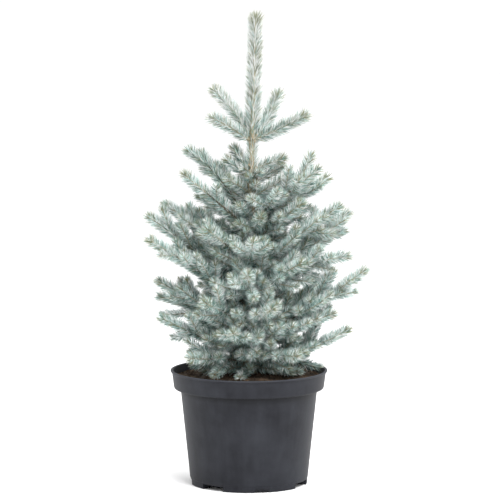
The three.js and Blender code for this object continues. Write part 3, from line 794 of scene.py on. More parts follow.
FINE_SEED = 1500  # from here on: the finer and shorter twigs that the frame doesn't have
FINE_STEP = 8 * MM
FINE_STEP_SPREAD = 0.4
FINE_ANGLE = 46
FINE_ANGLE_SPREAD = 12
FINE_ROLL = math.radians(80)
FINE_SHARE = 0.7  # length of a finer twig, as a share of what lies beyond its fork
FINE_SHARE_SPREAD = 0.15
FINE_LONGEST = 66 * MM
FINE_LONGEST_SPREAD = 0.25
FINE_TAPER = 0.5  # how much shorter the longest are at the top of the crown
FINE_SEASON_SPREAD = 0.1
FINE_SECTION = 15 * MM
FINE_GAP = 4 * MM
FINE_OWN_SHARE = 0.9  # of that gap, between twigs of one mass
FINE_COMPANY = 60 * MM  # a finer twig ends within this of another twig, so none stands out alone
LOW_HEIGHTS = np.linspace(218, 246, 24) * MM  # feet of the low twigs that spread over the soil
LOW_REACH = 98 * MM
LOW_CLIMB = 0.02  # height of the tip over the foot, as a share of the reach
SHORT_HEIGHTS = np.linspace(256, 600, 100) * MM  # and of the short ones between the whorls
SHORT_REACH = 112 * MM
SHORT_CLIMB = 0.45
SHORT_CLIMB_SPREAD = 0.1
SHORT_TAPER = 0.7  # how much shorter the highest ones are
SHORT_SPREAD = 0.2
SHORT_SAG = 0.03  # of the knee under a straight line, as a share of the reach
SHORT_SEASON = 70 * MM

# Boughs by whorl, from the bottom up: the whorl's foot, the step between its boughs' feet, the
# length of one set of needles and the last season's growth, then a row for each bough. A row is
# its azimuth in degrees from +X towards +Y, how far its tip stands out from the trunk and above
# its foot, how much of it is bare limb, and its curl: the part of its rise that comes from
# turning up towards its tip, or from turning down where it is below 0. Lengths in this table are
# millimetres.
WHORLS = [
    ("skirt", 236, 4, 27, 62, [
        (222, 160, 20, 0, 0), (357, 197, 62, 0, 0.8), (310, 150, 18, 0, 0), (195, 181, 80, 0, 0.2),
        (130, 178, 54, 0, 0), (344, 174, 79, 0, -0.3), (60, 182, 56, 0, 0), (258, 162, 48, 0, 0),
        (164, 189, 86, 0, -0.8)]),
    ("lower", 284, 5, 27, 66, [
        (352, 227, 136, 55, 0.4), (184, 183, 106, 50, 0), (36, 172, 82, 0, 0), (284, 172, 60, 0, 0),
        (238, 168, 64, 0, 0)]),
    ("broad", 338, 5, 27, 68, [
        (205, 218, 144, 60, -0.1), (350, 195, 98, 55, -0.9), (268, 170, 78, 0, 0),
        (22, 208, 162, 55, -0.2), (130, 158, 156, 0, -0.2), (72, 186, 124, 0, 0),
        (312, 150, 72, 0, 0), (178, 203, 144, 55, 0)]),
    ("middle", 398, 6, 27, 70, [
        (4, 176, 136, 0, -0.3), (174, 172, 135, 50, -0.2), (272, 146, 74, 0, 0), (88, 166, 124, 0, 0),
        (232, 142, 82, 0, 0)]),
    ("upper", 462, 6, 24, 72, [
        (330, 118, 88, 0, 0), (92, 126, 112, 0, 0), (24, 168, 111, 40, -0.2), (282, 100, 46, 0, 0),
        (205, 146, 118, 40, 0), (168, 129, 147, 40, -0.6), (356, 120, 148, 0, 1.1),
        (343, 140, 108, 0, 0)]),
    ("stem", 548, 9, 18, 90, [
        (345, 74, 44, 0, 0), (215, 62, 34, 0, 0), (95, 72, 50, 0, 0), (20, 72, 36, 0, 0),
        (168, 56, 43, 0, 0), (150, 46, 57, 0, 0), (355, 70, 26, 0, 0)]),
    ("top", 652, 3, 17, 150, [
        (52, 89, 100, 0, 0.4), (205, 92, 52, 0, -0.2), (350, 112, 53, 0, 0.15),
        (165, 80, 96, 0, -0.3)]),
]


class SeededStream:
    """A stream of numbers from 0 to 1, from the 32-bit congruential rule."""

    def __init__(self, seed):
        self.state = (seed * 7919 + 12345) % 2 ** 32
        self()
        self()

    def __call__(self):
        self.state = (self.state * 1664525 + 1013904223) % 2 ** 32
        return self.state / 2 ** 32

    def either(self):
        """A number between -1 and 1."""
        return 2 * self() - 1


def unit(vectors):
    """Vectors scaled to length 1."""
    return vectors / np.maximum(np.linalg.norm(vectors, axis=-1, keepdims=True), 1e-12)


def level_heading(turn):
    """The level unit vector at an angle from +X towards +Y."""
    return np.array([math.cos(turn), math.sin(turn), 0])


def crown_share(height):
    """0 up to the lower boughs and 1 in the leader, with an even slope between."""
    return np.clip((height - CROWN_FOOT) / CROWN_SPAN, 0, 1)


def frames(curves, t):
    """Middle, ahead, across and over on quadratic curves at t. A curve is its foot, knee and tip:
    the middle is (1-t)^2 foot + 2t(1-t) knee + t^2 tip, and across is level unless it climbs."""
    t = np.asarray(t, float)[..., None]
    foot, knee, tip = curves[..., 0, :], curves[..., 1, :], curves[..., 2, :]
    middle = (1 - t) ** 2 * foot + 2 * t * (1 - t) * knee + t ** 2 * tip
    ahead = unit((1 - t) * (knee - foot) + t * (tip - knee))
    steep = np.abs(unit(tip - foot)[..., 2:]) > 0.85
    across = unit(np.cross(ahead, np.where(steep, RIGHT, UP)))
    return middle, ahead, across, np.cross(across, ahead)


def curve_length(curve):
    """The length of a curve, as the sum of 200 chords."""
    middle = frames(curve, np.linspace(0, 1, 201))[0]
    return float(np.linalg.norm(np.diff(middle, axis=0), axis=1).sum())


def rings_on(curve, stops, radii, sides, turns):
    """Rings round a curve at its stops: points at even angles between across and over. Each
    ring is turned by its own share of a side."""
    middle, _, across, over = frames(curve, stops)
    angle = 2 * math.pi * (np.arange(sides)[None] + np.asarray(turns)[:, None]) / sides
    spread = np.cos(angle)[..., None] * across[:, None] + np.sin(angle)[..., None] * over[:, None]
    return middle[:, None] + np.asarray(radii)[:, None, None] * spread


class Twig:
    """A twig: its curve, the share of it where its mass starts, the mass, the length of one set of
    needles, the last season's growth, and the twig that it grew from, or None on the trunk."""

    def __init__(self, curve, start, mass, section, season, parent=None):
        self.curve = curve
        self.start = start
        self.mass = mass
        self.section = section
        self.season = season
        self.parent = parent
        self.length = curve_length(curve)
        self.bare_foot = BARE_FOOT + (trunk_radius(curve[0, 2]) if parent is None else 0)
        self.dressed = self.bare_foot / self.length

    def make_room(self, foot_radius, bare_foot):
        """The rings of the frame's solid twig, which say how much room the twig takes."""
        foot = self.start + bare_foot / self.length
        end = 1 - TIP_POINT / self.length
        sections = max(1, int((end - foot) * self.length / self.section + 0.5))
        along = foot + (end - foot) * np.arange(sections + 1) / sections
        stops = np.concatenate([[self.start], along])
        share = np.maximum(0, stops - self.start) / (1 - self.start)
        radii = foot_radius + (TIP_RADIUS - foot_radius) * share
        self.rings = rings_on(self.curve, stops, radii, 3, np.arange(len(stops)) / 2)


class Room:
    """The space that has been taken, as convex cells, each a section of a tube. All cells are
    brought to 12 points, 12 facet normals and 24 edges by repeating their own."""

    def __init__(self):
        self.points, self.normals, self.edges = [], [], []
        self.mass, self.twig = [], []
        self.middle = np.zeros((0, 3))
        self.reach = np.zeros(0)

    @staticmethod
    def cells(rings):
        """Points, normals, edges, middle and reach of the cells between neighbouring rings."""
        rear, front = rings[:-1], rings[1:]
        rear_next, front_next = np.roll(rear, -1, 1), np.roll(front, -1, 1)
        points = np.concatenate([rear, front], 1)
        edges = np.concatenate([rear_next - rear, front_next - front, front - rear,
                                front - rear_next], 1)
        normals = unit(np.concatenate([
            np.cross(rear_next - rear, front - rear_next),
            np.cross(rear_next - front, front_next - rear_next)], 1))
        low, high = points.min(1), points.max(1)
        filled = [array[:, np.arange(count) % array.shape[1]]
                  for array, count in ((points, 12), (normals, 12), (edges, 24))]
        return (*filled, (low + high) / 2, np.linalg.norm(high - low, axis=1) / 2)

    def take(self, rings, mass, twig=None):
        """Takes the space inside a tube."""
        points, normals, edges, middle, reach = self.cells(rings)
        self.points.extend(points)
        self.normals.extend(normals)
        self.edges.extend(edges)
        self.mass.extend([mass] * len(points))
        self.twig.extend([twig] * len(points))
        self.middle = np.concatenate([self.middle, middle])
        self.reach = np.concatenate([self.reach, reach])

    def parted(self, one, others, gap):
        """Whether planes part a cell from others by a gap: along facets, then along edge pairs."""
        points = np.stack([self.points[i] for i in others])

        def widest(directions):
            """The widest gap between the cell and each of the others, along any direction."""
            mine = directions @ one[0].T
            theirs = directions @ points.transpose(0, 2, 1)
            spans = np.maximum(theirs.min(-1) - mine.max(-1), mine.min(-1) - theirs.max(-1))
            return spans.max(-1)

        own = np.broadcast_to(one[1], (len(others), 12, 3))
        facets = np.concatenate([own, np.stack([self.normals[i] for i in others])], 1)
        free = widest(facets) >= gap
        if free.all():
            return True
        left = np.flatnonzero(~free)
        edges = np.stack([self.edges[others[i]] for i in left])
        pairs = np.cross(one[2][None, :, None], edges[:, None]).reshape(len(left), -1, 3)
        points = points[left]
        return bool((widest(unit(pairs)) >= gap).all())

    def has_room(self, twig, mass_gap, own_gap):
        """Whether a twig keeps its distance from all but its parent and its own mass at its foot."""
        on_trunk = twig.parent is None
        points, normals, edges, middle, reach = self.cells(twig.rings)
        for i in range(len(points)):
            away = np.linalg.norm(self.middle - middle[i], axis=1) - self.reach - reach[i]
            near = np.flatnonzero(away <= mass_gap)
            checks = {mass_gap: [], own_gap: []}
            for j in near:
                is_own = self.mass[j] == twig.mass
                is_parent = is_own and self.twig[j] is twig.parent
                if is_parent or (i == 0 and (is_own or on_trunk)):
                    continue
                gap = own_gap if is_own else mass_gap
                if away[j] <= gap:
                    checks[gap].append(j)
            one = (points[i], normals[i], edges[i])
            for gap, others in checks.items():
                if others and not self.parted(one, others, gap):
                    return False
        return True


def side_curve(parent, t, grown, angle, roll):
    """A side twig's curve: it leaves its parent at an angle, rolled round it from across towards
    over, and its tip bends towards the parent's heading and up."""
    foot, ahead, across, over = frames(parent, t)
    heading = (ahead * math.cos(angle) + across * math.sin(angle) * math.cos(roll)
               + over * math.sin(angle) * math.sin(roll))
    tip = foot + heading * grown + ahead * grown * FORWARD + UP * grown * UPWARD
    return np.stack([foot, foot + heading * grown / 2, tip])


def side_twigs(twig, stream):
    """Side twigs at the end of each season: a left, a right, an upper and a lower one."""
    sides = []
    needled = twig.length * (1 - twig.start) - FORK_SPREAD
    season = twig.season
    beyond = season
    while beyond < needled:
        over_roll = math.pi / 2 if stream() < 0.5 else -math.pi / 2
        for roll in (0, math.pi, over_roll, -over_roll):
            is_over = abs(roll) == math.pi / 2
            angle = (OVER_ANGLE if is_over else SIDE_ANGLE) + ANGLE_SPREAD * stream.either()
            share = OVER_SHARE if is_over else SIDE_SHARE
            grown = min(share * (1 + SHARE_SPREAD * stream.either()) * beyond, LONGEST)
            t = 1 - (beyond + FORK_SPREAD * stream()) / twig.length
            if grown < (SHORTEST_OVER if is_over else SHORTEST):
                continue
            curve = side_curve(twig.curve, t, grown, math.radians(angle), roll)
            sides.append(Twig(curve, 0, twig.mass, twig.section, twig.season, twig))
        season *= SEASON_SHRINK
        beyond += season
    return sides


def fine_twigs(twig, stream):
    """Finer twigs, from the end of the last season back to the foot: one leaves every FINE_STEP
    or so to the left or right, mostly over half as long as what lies beyond it."""
    sides = []
    beyond = twig.season * (1 + FINE_SEASON_SPREAD * stream.either())
    longest = FINE_LONGEST * (1 - FINE_TAPER * crown_share(twig.curve[2, 2]))
    while beyond < twig.length * (1 - twig.dressed) - FORK_SPREAD:
        roll = math.pi * (stream() < 0.5) + FINE_ROLL * stream.either()
        angle = FINE_ANGLE + FINE_ANGLE_SPREAD * stream.either()
        share = FINE_SHARE + FINE_SHARE_SPREAD * stream.either()
        grown = min(share * beyond, longest * (1 + FINE_LONGEST_SPREAD * stream.either()))
        t = 1 - beyond / twig.length
        curve = side_curve(twig.curve, t, grown, math.radians(angle), roll)
        sides.append(Twig(curve, 0, twig.mass, FINE_SECTION, twig.season, twig))
        beyond += FINE_STEP * (1 + FINE_STEP_SPREAD * stream.either())
    return sides


def trunk_twigs(wood, stream, heights, reach, climb):
    """Short twigs that grow straight from the trunk, a golden angle apart up it. Each reaches less
    far than those below it, climbs by its share of that reach and sags a little on the way."""
    twigs = []
    for i, height in enumerate(heights):
        out = level_heading(GOLDEN_ANGLE * (i + 0.5))
        far = reach * (1 - SHORT_TAPER * i / len(heights)) * (1 + SHORT_SPREAD * stream.either())
        root = trunk_middle(height, wood)
        tip = root + out * far + UP * far * (climb + SHORT_CLIMB_SPREAD * stream.either())
        knee = (root + tip) / 2 - UP * far * SHORT_SAG
        curve = np.stack([root, knee, tip])
        twigs.append(Twig(curve, 0, "trunk", FINE_SECTION, SHORT_SEASON))
    return twigs


def bough_curve(root, azimuth, reach, rise, curl, sway):
    """A bough's curve from its row of the table: its knee lies halfway to its tip, moved down or up
    by its curl and to one side by its sway."""
    out = level_heading(math.radians(azimuth))
    tip = root + out * reach * MM + UP * rise * MM
    knee = (root + out * reach * MM / 2 + UP * rise * MM * (1 - curl) / 2
            + np.cross(UP, out) * 2 * SWAY * reach * MM * sway)
    return np.stack([root, knee, tip])


class Crown:
    """The crown as it grows: the room that it takes, its leader, and its masses. A mass is the
    stream that it draws from and the list of its twigs, where a bough's stem comes first."""

    def __init__(self, wood, pot, soil):
        self.wood = wood
        self.soil_top = soil.middle_height + soil.lump + GROUND_GAP
        self.pot_top = pot.height + GROUND_GAP
        self.inner_rim = pot.band_foot_radius - pot.wall - RIM_GAP
        self.room = Room()
        self.masses = []
        self.grow_leader()
        self.grow_stems()
        self.grow_sides()
        self.grow_between()
        self.grow_fine()
        self.twigs = [twig for _, twigs in self.masses for twig in twigs]

    def is_clear(self, points):
        """Whether points lie above the pot and soil and clear of the trunk."""
        over_soil = np.hypot(points[:, 0], points[:, 1]) < self.inner_rim
        floor = np.where(over_soil, self.soil_top, self.pot_top)
        from_trunk = np.hypot(points[:, 0] - lean_at(points[:, 2], self.wood), points[:, 1])
        is_outside = from_trunk > trunk_radius(points[:, 2]) + WOOD_GAP
        return bool(((points[:, 2] > floor) & is_outside).all())

    def try_twig(self, twig, twigs, foot_radius, mass_gap, own_gap):
        """Adds a twig to its mass if there is room for it."""
        twig.make_room(foot_radius, twig.bare_foot)
        beyond_trunk = twig.rings[int(twig.parent is None):]
        if self.is_clear(beyond_trunk.reshape(-1, 3)) and self.room.has_room(twig, mass_gap, own_gap):
            twigs.append(twig)
            self.room.take(twig.rings, twig.mass, twig)

    def grow_leader(self):
        """The trunk's top shoot, which follows the trunk and takes the room of its sleeve."""
        ends = np.array([LEADER_FOOT, LEADER_TOP])
        foot, top = trunk_middle(ends, self.wood)
        knee = trunk_middle(ends.mean(), self.wood)
        knee[0] = 2 * knee[0] - (foot[0] + top[0]) / 2
        self.leader = Twig(np.stack([foot, knee, top]), 0, "leader", 0, 1)
        count = np.arange(LEADER_SECTIONS + 1)
        stops = count / LEADER_SECTIONS
        wood_radius = trunk_radius(LEADER_FOOT + (LEADER_TOP - LEADER_FOOT) * stops)
        radii = (wood_radius + CLEARANCE + LEADER_SKIN) / math.cos(math.pi / LEADER_SIDES)
        rings = rings_on(self.leader.curve, stops, radii, LEADER_SIDES, count / 2)
        self.room.take(rings, "leader", self.leader)

    def grow_stems(self):
        """The stem of each mass, and the bare limb that some of them grow on from."""
        count = np.arange(LIMB_SECTIONS + 1)
        limb_radii = LIMB_RADII[0] + (LIMB_RADII[1] - LIMB_RADII[0]) * (count / LIMB_SECTIONS)
        for name, foot, step, section, season, boughs in WHORLS:
            for i, (azimuth, reach, rise, limb, curl) in enumerate(boughs):
                stream = SeededStream(SEED + len(self.masses))
                root = trunk_middle((foot + i * step) * MM, self.wood)
                curve = bough_curve(root, azimuth, reach, rise, curl, stream() - 0.5)
                whole = curve_length(curve)
                if limb:
                    stops = count / LIMB_SECTIONS * limb * MM / whole
                    self.room.take(rings_on(curve, stops, limb_radii, 6, count / 2), "limb")
                start = (limb * MM + CLEARANCE) / whole if limb else 0
                bare = BARE_FOOT / 2 if limb else BARE_FOOT + trunk_radius(foot * MM)
                stem = Twig(curve, start, f"{name}_{i + 1}", section * MM, season * MM)
                stem.make_room(STEM_RADIUS, bare)
                self.room.take(stem.rings, stem.mass, stem)
                self.masses.append((stream, [stem]))

    def grow_sides(self):
        """Side twigs of every stem, then side twigs of those."""
        for order in (1, 2):
            for stream, twigs in self.masses:
                parents = twigs[:1] if order == 1 else twigs[1:]
                for twig in [side for parent in parents for side in side_twigs(parent, stream)]:
                    self.try_twig(twig, twigs, SIDE_RADIUS, MASS_GAP, OWN_GAP)

    def grow_between(self):
        """Low twigs over the soil, then short ones between the whorls, as one more mass."""
        stream = SeededStream(SEED - 1)
        twigs = []
        for twig in [*trunk_twigs(self.wood, stream, LOW_HEIGHTS, LOW_REACH, LOW_CLIMB),
                     *trunk_twigs(self.wood, stream, SHORT_HEIGHTS, SHORT_REACH, SHORT_CLIMB)]:
            self.try_twig(twig, twigs, TIP_RADIUS, FINE_GAP, FINE_GAP / 2)
        self.masses.append((stream, twigs))

    def grow_fine(self):
        """Finer twigs on all the twigs so far, where they end close to one that isn't their parent
        and so inside the crown's outline."""
        known = [twig for _, twigs in self.masses for twig in twigs]
        lines = np.concatenate([twig.rings.mean(1) for twig in known])
        line_of = np.repeat(np.arange(len(known)), [len(twig.rings) for twig in known])
        numbers = {twig: number for number, twig in enumerate(known)}
        for mass, (_, twigs) in enumerate(self.masses):
            stream = SeededStream(FINE_SEED + mass)
            for twig in [side for parent in twigs for side in fine_twigs(parent, stream)]:
                away = np.linalg.norm(lines - twig.curve[2], axis=1)
                if away[line_of != numbers[twig.parent]].min() < FINE_COMPANY:
                    self.try_twig(twig, twigs, TIP_RADIUS, FINE_GAP, FINE_OWN_SHARE * FINE_GAP)


grown_crowns = {}  # crowns by the settings that they grew from


def grow_crown(spruce):
    """The crown for the present settings, grown once and kept for all that is built on it."""
    wood, pot, soil = spruce.wood, spruce.pot, spruce.soil
    key = (wood.lean, wood.sway, pot.height, pot.wall, pot.band_foot_radius, soil.middle_height,
           soil.lump)
    if key not in grown_crowns:
        grown_crowns[key] = Crown(wood, pot, soil)
    return grown_crowns[key]


# ---- Boughs and twigs ----

YOUNG_RADIUS = 0.8 * MM  # of a shoot at its tip
THICKENING = 0.013  # how much a stem's radius grows for each metre back from its tip
OLD_RADIUS = 4.4 * MM
STEM_RELIEF = 0.28 * MM  # depth of the bumps on older wood
SHOOT_RELIEF = 0.12 * MM
JOINT = 2 * MM  # how far older wood reaches into the shoot that grows on from it
BARK_SEED = 50


def stem_radius(beyond):
    """A stem's radius by how much of it lies beyond: it thickens evenly, up to old wood."""
    return np.minimum(YOUNG_RADIUS + THICKENING * beyond, OLD_RADIUS)


def stem_part(twig, first, last, sides, step, relief, seed):
    """Part of a twig's stem as a closed tube of rings, with small bumps where needles sit."""
    count = max(3, int((last - first) * twig.length / step) + 1)
    stops = np.linspace(first, last, count)
    radii = stem_radius((1 - stops) * twig.length)
    rings = rings_on(twig.curve, stops, radii, sides, np.zeros(count))
    middle = frames(twig.curve, stops)[0][:, None]
    bumps = relief * waves(rings, 5 * MM, seed, 12)[..., None]
    return closed_tube(rings + unit(rings - middle) * bumps)


def bough_finish(wood):
    """Older wood: brown bark with grey flakes and dark cracks."""
    finish = Finish("bough_bark")
    flakes = finish.noise(380, detail=4, roughness=0.65)
    base = finish.mix(finish.ramp(flakes, 0.35, 0.75), wood.old_bark, wood.bough_bark)
    base = finish.mix(finish.ramp(finish.noise(110, detail=2), 0.5, 0.75) * 0.5, base, wood.grey_bark)
    return finish.surface(Base_Color=base, Roughness=0.85, Specular_IOR_Level=0.3,
                          Normal=finish.bump(flakes + finish.cells(600) * 0.5, 0.4 * MM))


def shoot_finish(crown, wood):
    """Young shoots: smooth straw to orange bark with fine furrows."""
    finish = Finish("shoot_bark")
    furrows = finish.noise(600, detail=3, roughness=0.6)
    base = finish.mix(furrows * 0.5, crown.young_bark, wood.bough_bark)
    return finish.surface(Base_Color=base, Roughness=0.7, Specular_IOR_Level=0.35,
                          Normal=finish.bump(furrows, 0.25 * MM))


class SPRUCE_OT_twigs(bpy.types.Operator):
    """Build the boughs' older wood and the young shoots that grow on from it"""

    bl_idname = "spruce.twigs"
    bl_label = "Boughs and twigs"

    def execute(self, context):
        spruce = context.scene.spruce
        old, young = [], []
        for i, twig in enumerate(grow_crown(spruce).twigs):
            seed = BARK_SEED + i
            end = 1 - TIP_POINT / twig.length
            turn = max(0.0, 1 - twig.season / twig.length)
            if turn > 0.02:
                sides, step = (12, 3 * MM) if twig.parent is None else (8, 5 * MM)
                last = turn + JOINT / twig.length
                old.append(stem_part(twig, 0, last, sides, step, STEM_RELIEF, seed))
            young.append(stem_part(twig, turn, end, 6, 6 * MM, SHOOT_RELIEF, seed))
        add_piece("bough_wood", *joined(old), bough_finish(spruce.wood), LIMB_NODES, "bark")
        finish = shoot_finish(spruce.crown, spruce.wood)
        add_piece("young_shoots", *joined(young), finish, CROWN_NODES, "bark")
        return {"FINISHED"}


# ---- Needles ----

TINTS = ["frost", "blue", "sea", "green", "deep", "straw", "silver", "ash"]
TIP_NEEDLES = 20  # more needles crowd round each shoot's end
TIP_CROWD = 6 * MM  # and lie within this of it
SHOOT_END = 1.5 * MM  # the last needles sit this far past the end of the wood
NEEDLES_IN_PIECE = 48000
TRUNK_NEEDLES_FOOT = 330 * MM  # the trunk itself still has a sleeve of needles from here up
SLEEVE_SEASON = 150 * MM
OLDEST = 7  # the greatest age that is told apart, in seasons
NEAR_TIP = 9 * MM  # needles this near a shoot's end are shorter and turned towards it
NEW_SEASON = 10 * MM  # and those this near a season's foot are shorter

NEEDLE_WAIST = 0.35  # where a needle is widest, as a share of its length
NEEDLE_BEND = 0.2  # its turn past the waist, towards the shoot's heading
NEEDLE_RISE = 0.08  # and up
NEEDLE_KEEL = 0.5  # how far its waist stands off its keel, in half widths
NEEDLE_LENGTHS = (0.85, 1.1)
LIP_GAP = 2 * MM  # needles this far out past the lip may hang lower than the pot's top
ROLL_SPREAD = 0.12  # radians that a needle strays from its place round the shoot
LEAN_SPREAD = 5  # degrees, as are the next two
TRUNK_LEAN = 6  # the trunk's own needles lie closer to it by this
TIP_LEAN = 26  # and needles at a shoot's tip lean forward by this
TIP_SHORTER = 0.2  # how much shorter needles are at a tip
SEASON_SHORTER = 0.3  # and at the foot of a season's growth
ROOT_DEPTH = 0.7  # a needle starts inside the wood, at this share of its radius
LIFT = 0.12  # how much of a needle's heading is up
LIFT_BELOW = 0.2  # more of it for needles under a level shoot, and less for those above

# How brushes of needles differ by the kind of shoot: how crowded the needles are, how long, the
# length in millimetres next to the bud where many are straw coloured, the share that is so there,
# and the share elsewhere.
BRUSHES = {
    "sleeve": (0.9, 1.0, 18, 0.6, 0.2),
    "leader": (1.9, 1.35, 18, 0.6, 0.2),
    "top_stem": (1.5, 1.25, 12, 0.45, 0.14),
    "top_side": (1.5, 1.25, 7, 0.35, 0.05),
    "stem": (1.15, 1.15, 12, 0.45, 0.14),
    "side": (1.0, 1.0, 7, 0.35, 0.05),
}

# How much paler or deeper a needle's tone grows, in steps from frost to deep.
TONE_BY_SEASON = 0.5
# painted shade: needles nearer the trunk get a deeper tone, as the inside of the crown lies in shade
PAINTED_SHADE_BY_DEPTH = 0.8  # towards the trunk
MIDDLE_DEPTH = 0.45  # the depth that changes nothing
TONE_BY_SPRAY = 0.7
TONE_BY_NEEDLE = 4.2
TONE_BY_HEIGHT = 0.9
# painted light: needles on shoots that head to the front, towards the lights, get a paler tone
PAINTED_LIGHT_BY_HEADING = 0.22
TONE_START = 0.55
LEADER_PALENESS = 0.14  # taken off the draw of each needle on the trunk
CROWN_RADIUS = 190 * MM  # depth is 0 this far from the Z axis, and 1 on it
NEWEST_SHARE = 0.85  # of blue and sea green needles at the top that take a greyer tint


def brush_kind(twig):
    """The kind of a shoot, which says what its brush of needles is like."""
    if twig.mass in ("sleeve", "leader"):
        return twig.mass
    whorl = "top_" if twig.mass.startswith("top_") else ""
    is_stem = twig.parent is None and twig.mass != "trunk"
    return whorl + ("stem" if is_stem else "side")


def needle_meshes(root, ahead, outward, lean, reach, width, lift):
    """Points of all needles: a root, the two corners of its waist and a tip, with a keel from root
    to tip. A needle starts at its lean from the twig, and bends a little towards the twig's
    heading and up."""
    heading = unit(ahead * np.cos(lean)[:, None] + outward * np.sin(lean)[:, None]
                   + UP * lift[:, None])
    end = unit(heading + NEEDLE_BEND * ahead + NEEDLE_RISE * UP)
    side = unit(np.cross(heading, ahead + 0.01 * RIGHT))
    face = np.cross(heading, side)
    middle = root + heading * (NEEDLE_WAIST * reach)[:, None]
    left, right = (middle + width / 2 * (way * side + NEEDLE_KEEL * face) for way in (1, -1))
    tip = middle + end * ((1 - NEEDLE_WAIST) * reach)[:, None]
    return np.stack([root, left, right, tip], 1)


NEEDLE_TRIANGLES = np.array([[0, 2, 1], [3, 1, 2], [0, 1, 3], [0, 3, 2]])


class Needles:
    """All needles as arrays with a row for each: where it sits on which shoot, its points and its
    tint. All draws come from one seeded source, in one order."""

    def __init__(self, shoots, crown):
        self.draws = np.random.default_rng(SEED)
        self.shoots = shoots
        rows = np.array([BRUSHES[brush_kind(shoot)] for shoot in shoots])
        on_trunk = np.array([shoot.mass in ("sleeve", "leader") for shoot in shoots])
        self.place(rows[:, 0], on_trunk, crown.needle_spacing)
        self.brush, self.on_trunk = rows[self.which], on_trunk[self.which]
        self.points = self.shape(crown)
        self.tints = self.tint()

    def uniform(self, low=0, high=1):
        """One even random draw for each needle."""
        return self.draws.uniform(low, high, len(self.which))

    def place(self, crowding, on_trunk, spacing):
        """Where needles sit: at an even spacing along each shoot, each moved on a little at random,
        with more of them crowded at its end."""
        whole = np.array([shoot.length for shoot in self.shoots])
        foot = np.where(on_trunk, 0, [shoot.dressed for shoot in self.shoots]) * whole
        end = whole - np.where(on_trunk, 0, TIP_POINT - SHOOT_END)
        counts = ((end - foot) / spacing * crowding).astype(int) + TIP_NEEDLES
        self.which = which = np.repeat(np.arange(len(counts)), counts)
        self.order = np.concatenate([np.arange(count) for count in counts])
        share = (self.order + 0.5 * self.uniform()) / (counts - TIP_NEEDLES)[which]
        along = np.minimum(foot[which] + (end - foot)[which] * share,
                           end[which] - TIP_CROWD * self.uniform() ** 1.5)
        curves = np.stack([shoot.curve for shoot in self.shoots])
        self.beyond = end[which] - along
        self.footing = frames(curves[which], along / whole[which])
        self.season = np.array([shoot.season for shoot in self.shoots])[which]
        self.age = np.minimum(np.floor(self.beyond / self.season), OLDEST)

    def shape(self, crown):
        """Points of all needles. Roots go round a shoot by the golden angle, a little sunk in its
        wood. Needles at the tip lean further forward, and those under a shoot are lifted."""
        middle, ahead, across, over = self.footing
        count = len(self.which)
        strays = self.draws.normal(0, ROLL_SPREAD, count)
        roll = (GOLDEN_ANGLE * self.order + strays + self.which)[:, None]
        outward = across * np.cos(roll) + over * np.sin(roll)
        radius = stem_radius(self.beyond + TIP_POINT)
        radius = np.where(self.on_trunk, trunk_radius(middle[:, 2]), radius)
        root = middle + outward * (ROOT_DEPTH * radius)[:, None]
        near_tip = np.clip(1 - self.beyond / NEAR_TIP, 0, 1)
        lean = crown.needle_lean + np.radians(self.draws.normal(0, LEAN_SPREAD, count))
        lean = np.where(self.on_trunk, lean - math.radians(TRUNK_LEAN), lean)
        lean -= near_tip * math.radians(TIP_LEAN)
        season_foot = np.clip((self.season - self.beyond % self.season) / NEW_SEASON, 0, 1)
        reach = crown.needle_length * self.uniform(*NEEDLE_LENGTHS)
        reach *= self.brush[:, 1]
        in_season = 1 - SEASON_SHORTER + SEASON_SHORTER * season_foot
        reach *= (1 - TIP_SHORTER * near_tip) * in_season
        lift = LIFT - LIFT_BELOW * outward[:, 2] * (1 - np.abs(ahead[:, 2]))
        return needle_meshes(root, ahead, outward, lean, reach, crown.needle_width, lift)

    def tint(self):
        """The tint of each needle: it goes from pale to deep with age, and deeper towards the trunk as
        painted shade inside the crown. It is paler where its shoot heads to the front, towards the
        lights, as painted light, and paler at the top, and varies from spray to spray and from needle
        to needle. Near the top some are greyer, and some are straw coloured, most of them by a bud."""
        middle, ahead = self.footing[:2]
        sprays = (self.which * (OLDEST + 1) + self.age).astype(int)
        spray_draw = self.draws.uniform(0, 1, sprays.max() + 1)[sprays]
        # painted shade: depth, 0 at the crown's edge and 1 on the axis, deepens the tone below
        depth = np.clip(1 - np.hypot(middle[:, 0], middle[:, 1]) / CROWN_RADIUS, 0, 1)
        height = crown_share(middle[:, 2])
        # painted light: how far the shoot heads to the front, towards the lights
        facing_lights = -ahead[:, 1]
        needle_draw = self.uniform() - LEADER_PALENESS * self.on_trunk
        tone = (TONE_BY_SEASON * self.age + PAINTED_SHADE_BY_DEPTH * (depth - MIDDLE_DEPTH)
                + TONE_BY_SPRAY * spray_draw + TONE_BY_NEEDLE * needle_draw)
        tone = tone - TONE_BY_HEIGHT * height ** 2 - PAINTED_LIGHT_BY_HEADING * facing_lights - TONE_START
        tints = np.clip(np.floor(tone), 0, TINTS.index("deep")).astype(int)
        newest = self.uniform() < NEWEST_SHARE * height ** 2
        for plain, greyer in (("blue", "silver"), ("sea", "ash")):
            tints[newest & (tints == TINTS.index(plain))] = TINTS.index(greyer)
        bud_reach, share_near, share_far = self.brush[:, 2:].T
        straw_share = np.where(self.beyond < bud_reach * MM, share_near, share_far)
        tints[self.uniform() < straw_share] = TINTS.index("straw")
        return tints

    def are_clear(self, pot, soil):
        """Whether each needle's tip lies above the soil and the pot, or out past the pot's lip."""
        tip = self.points[:, -1]
        from_axis = np.hypot(tip[:, 0], tip[:, 1])
        over_soil = from_axis < pot.band_foot_radius - pot.wall
        floor = np.where(over_soil, soil.middle_height, pot.height + GROUND_GAP)
        return (tip[:, 2] > floor) | (from_axis > pot.lip_radius + LIP_GAP)


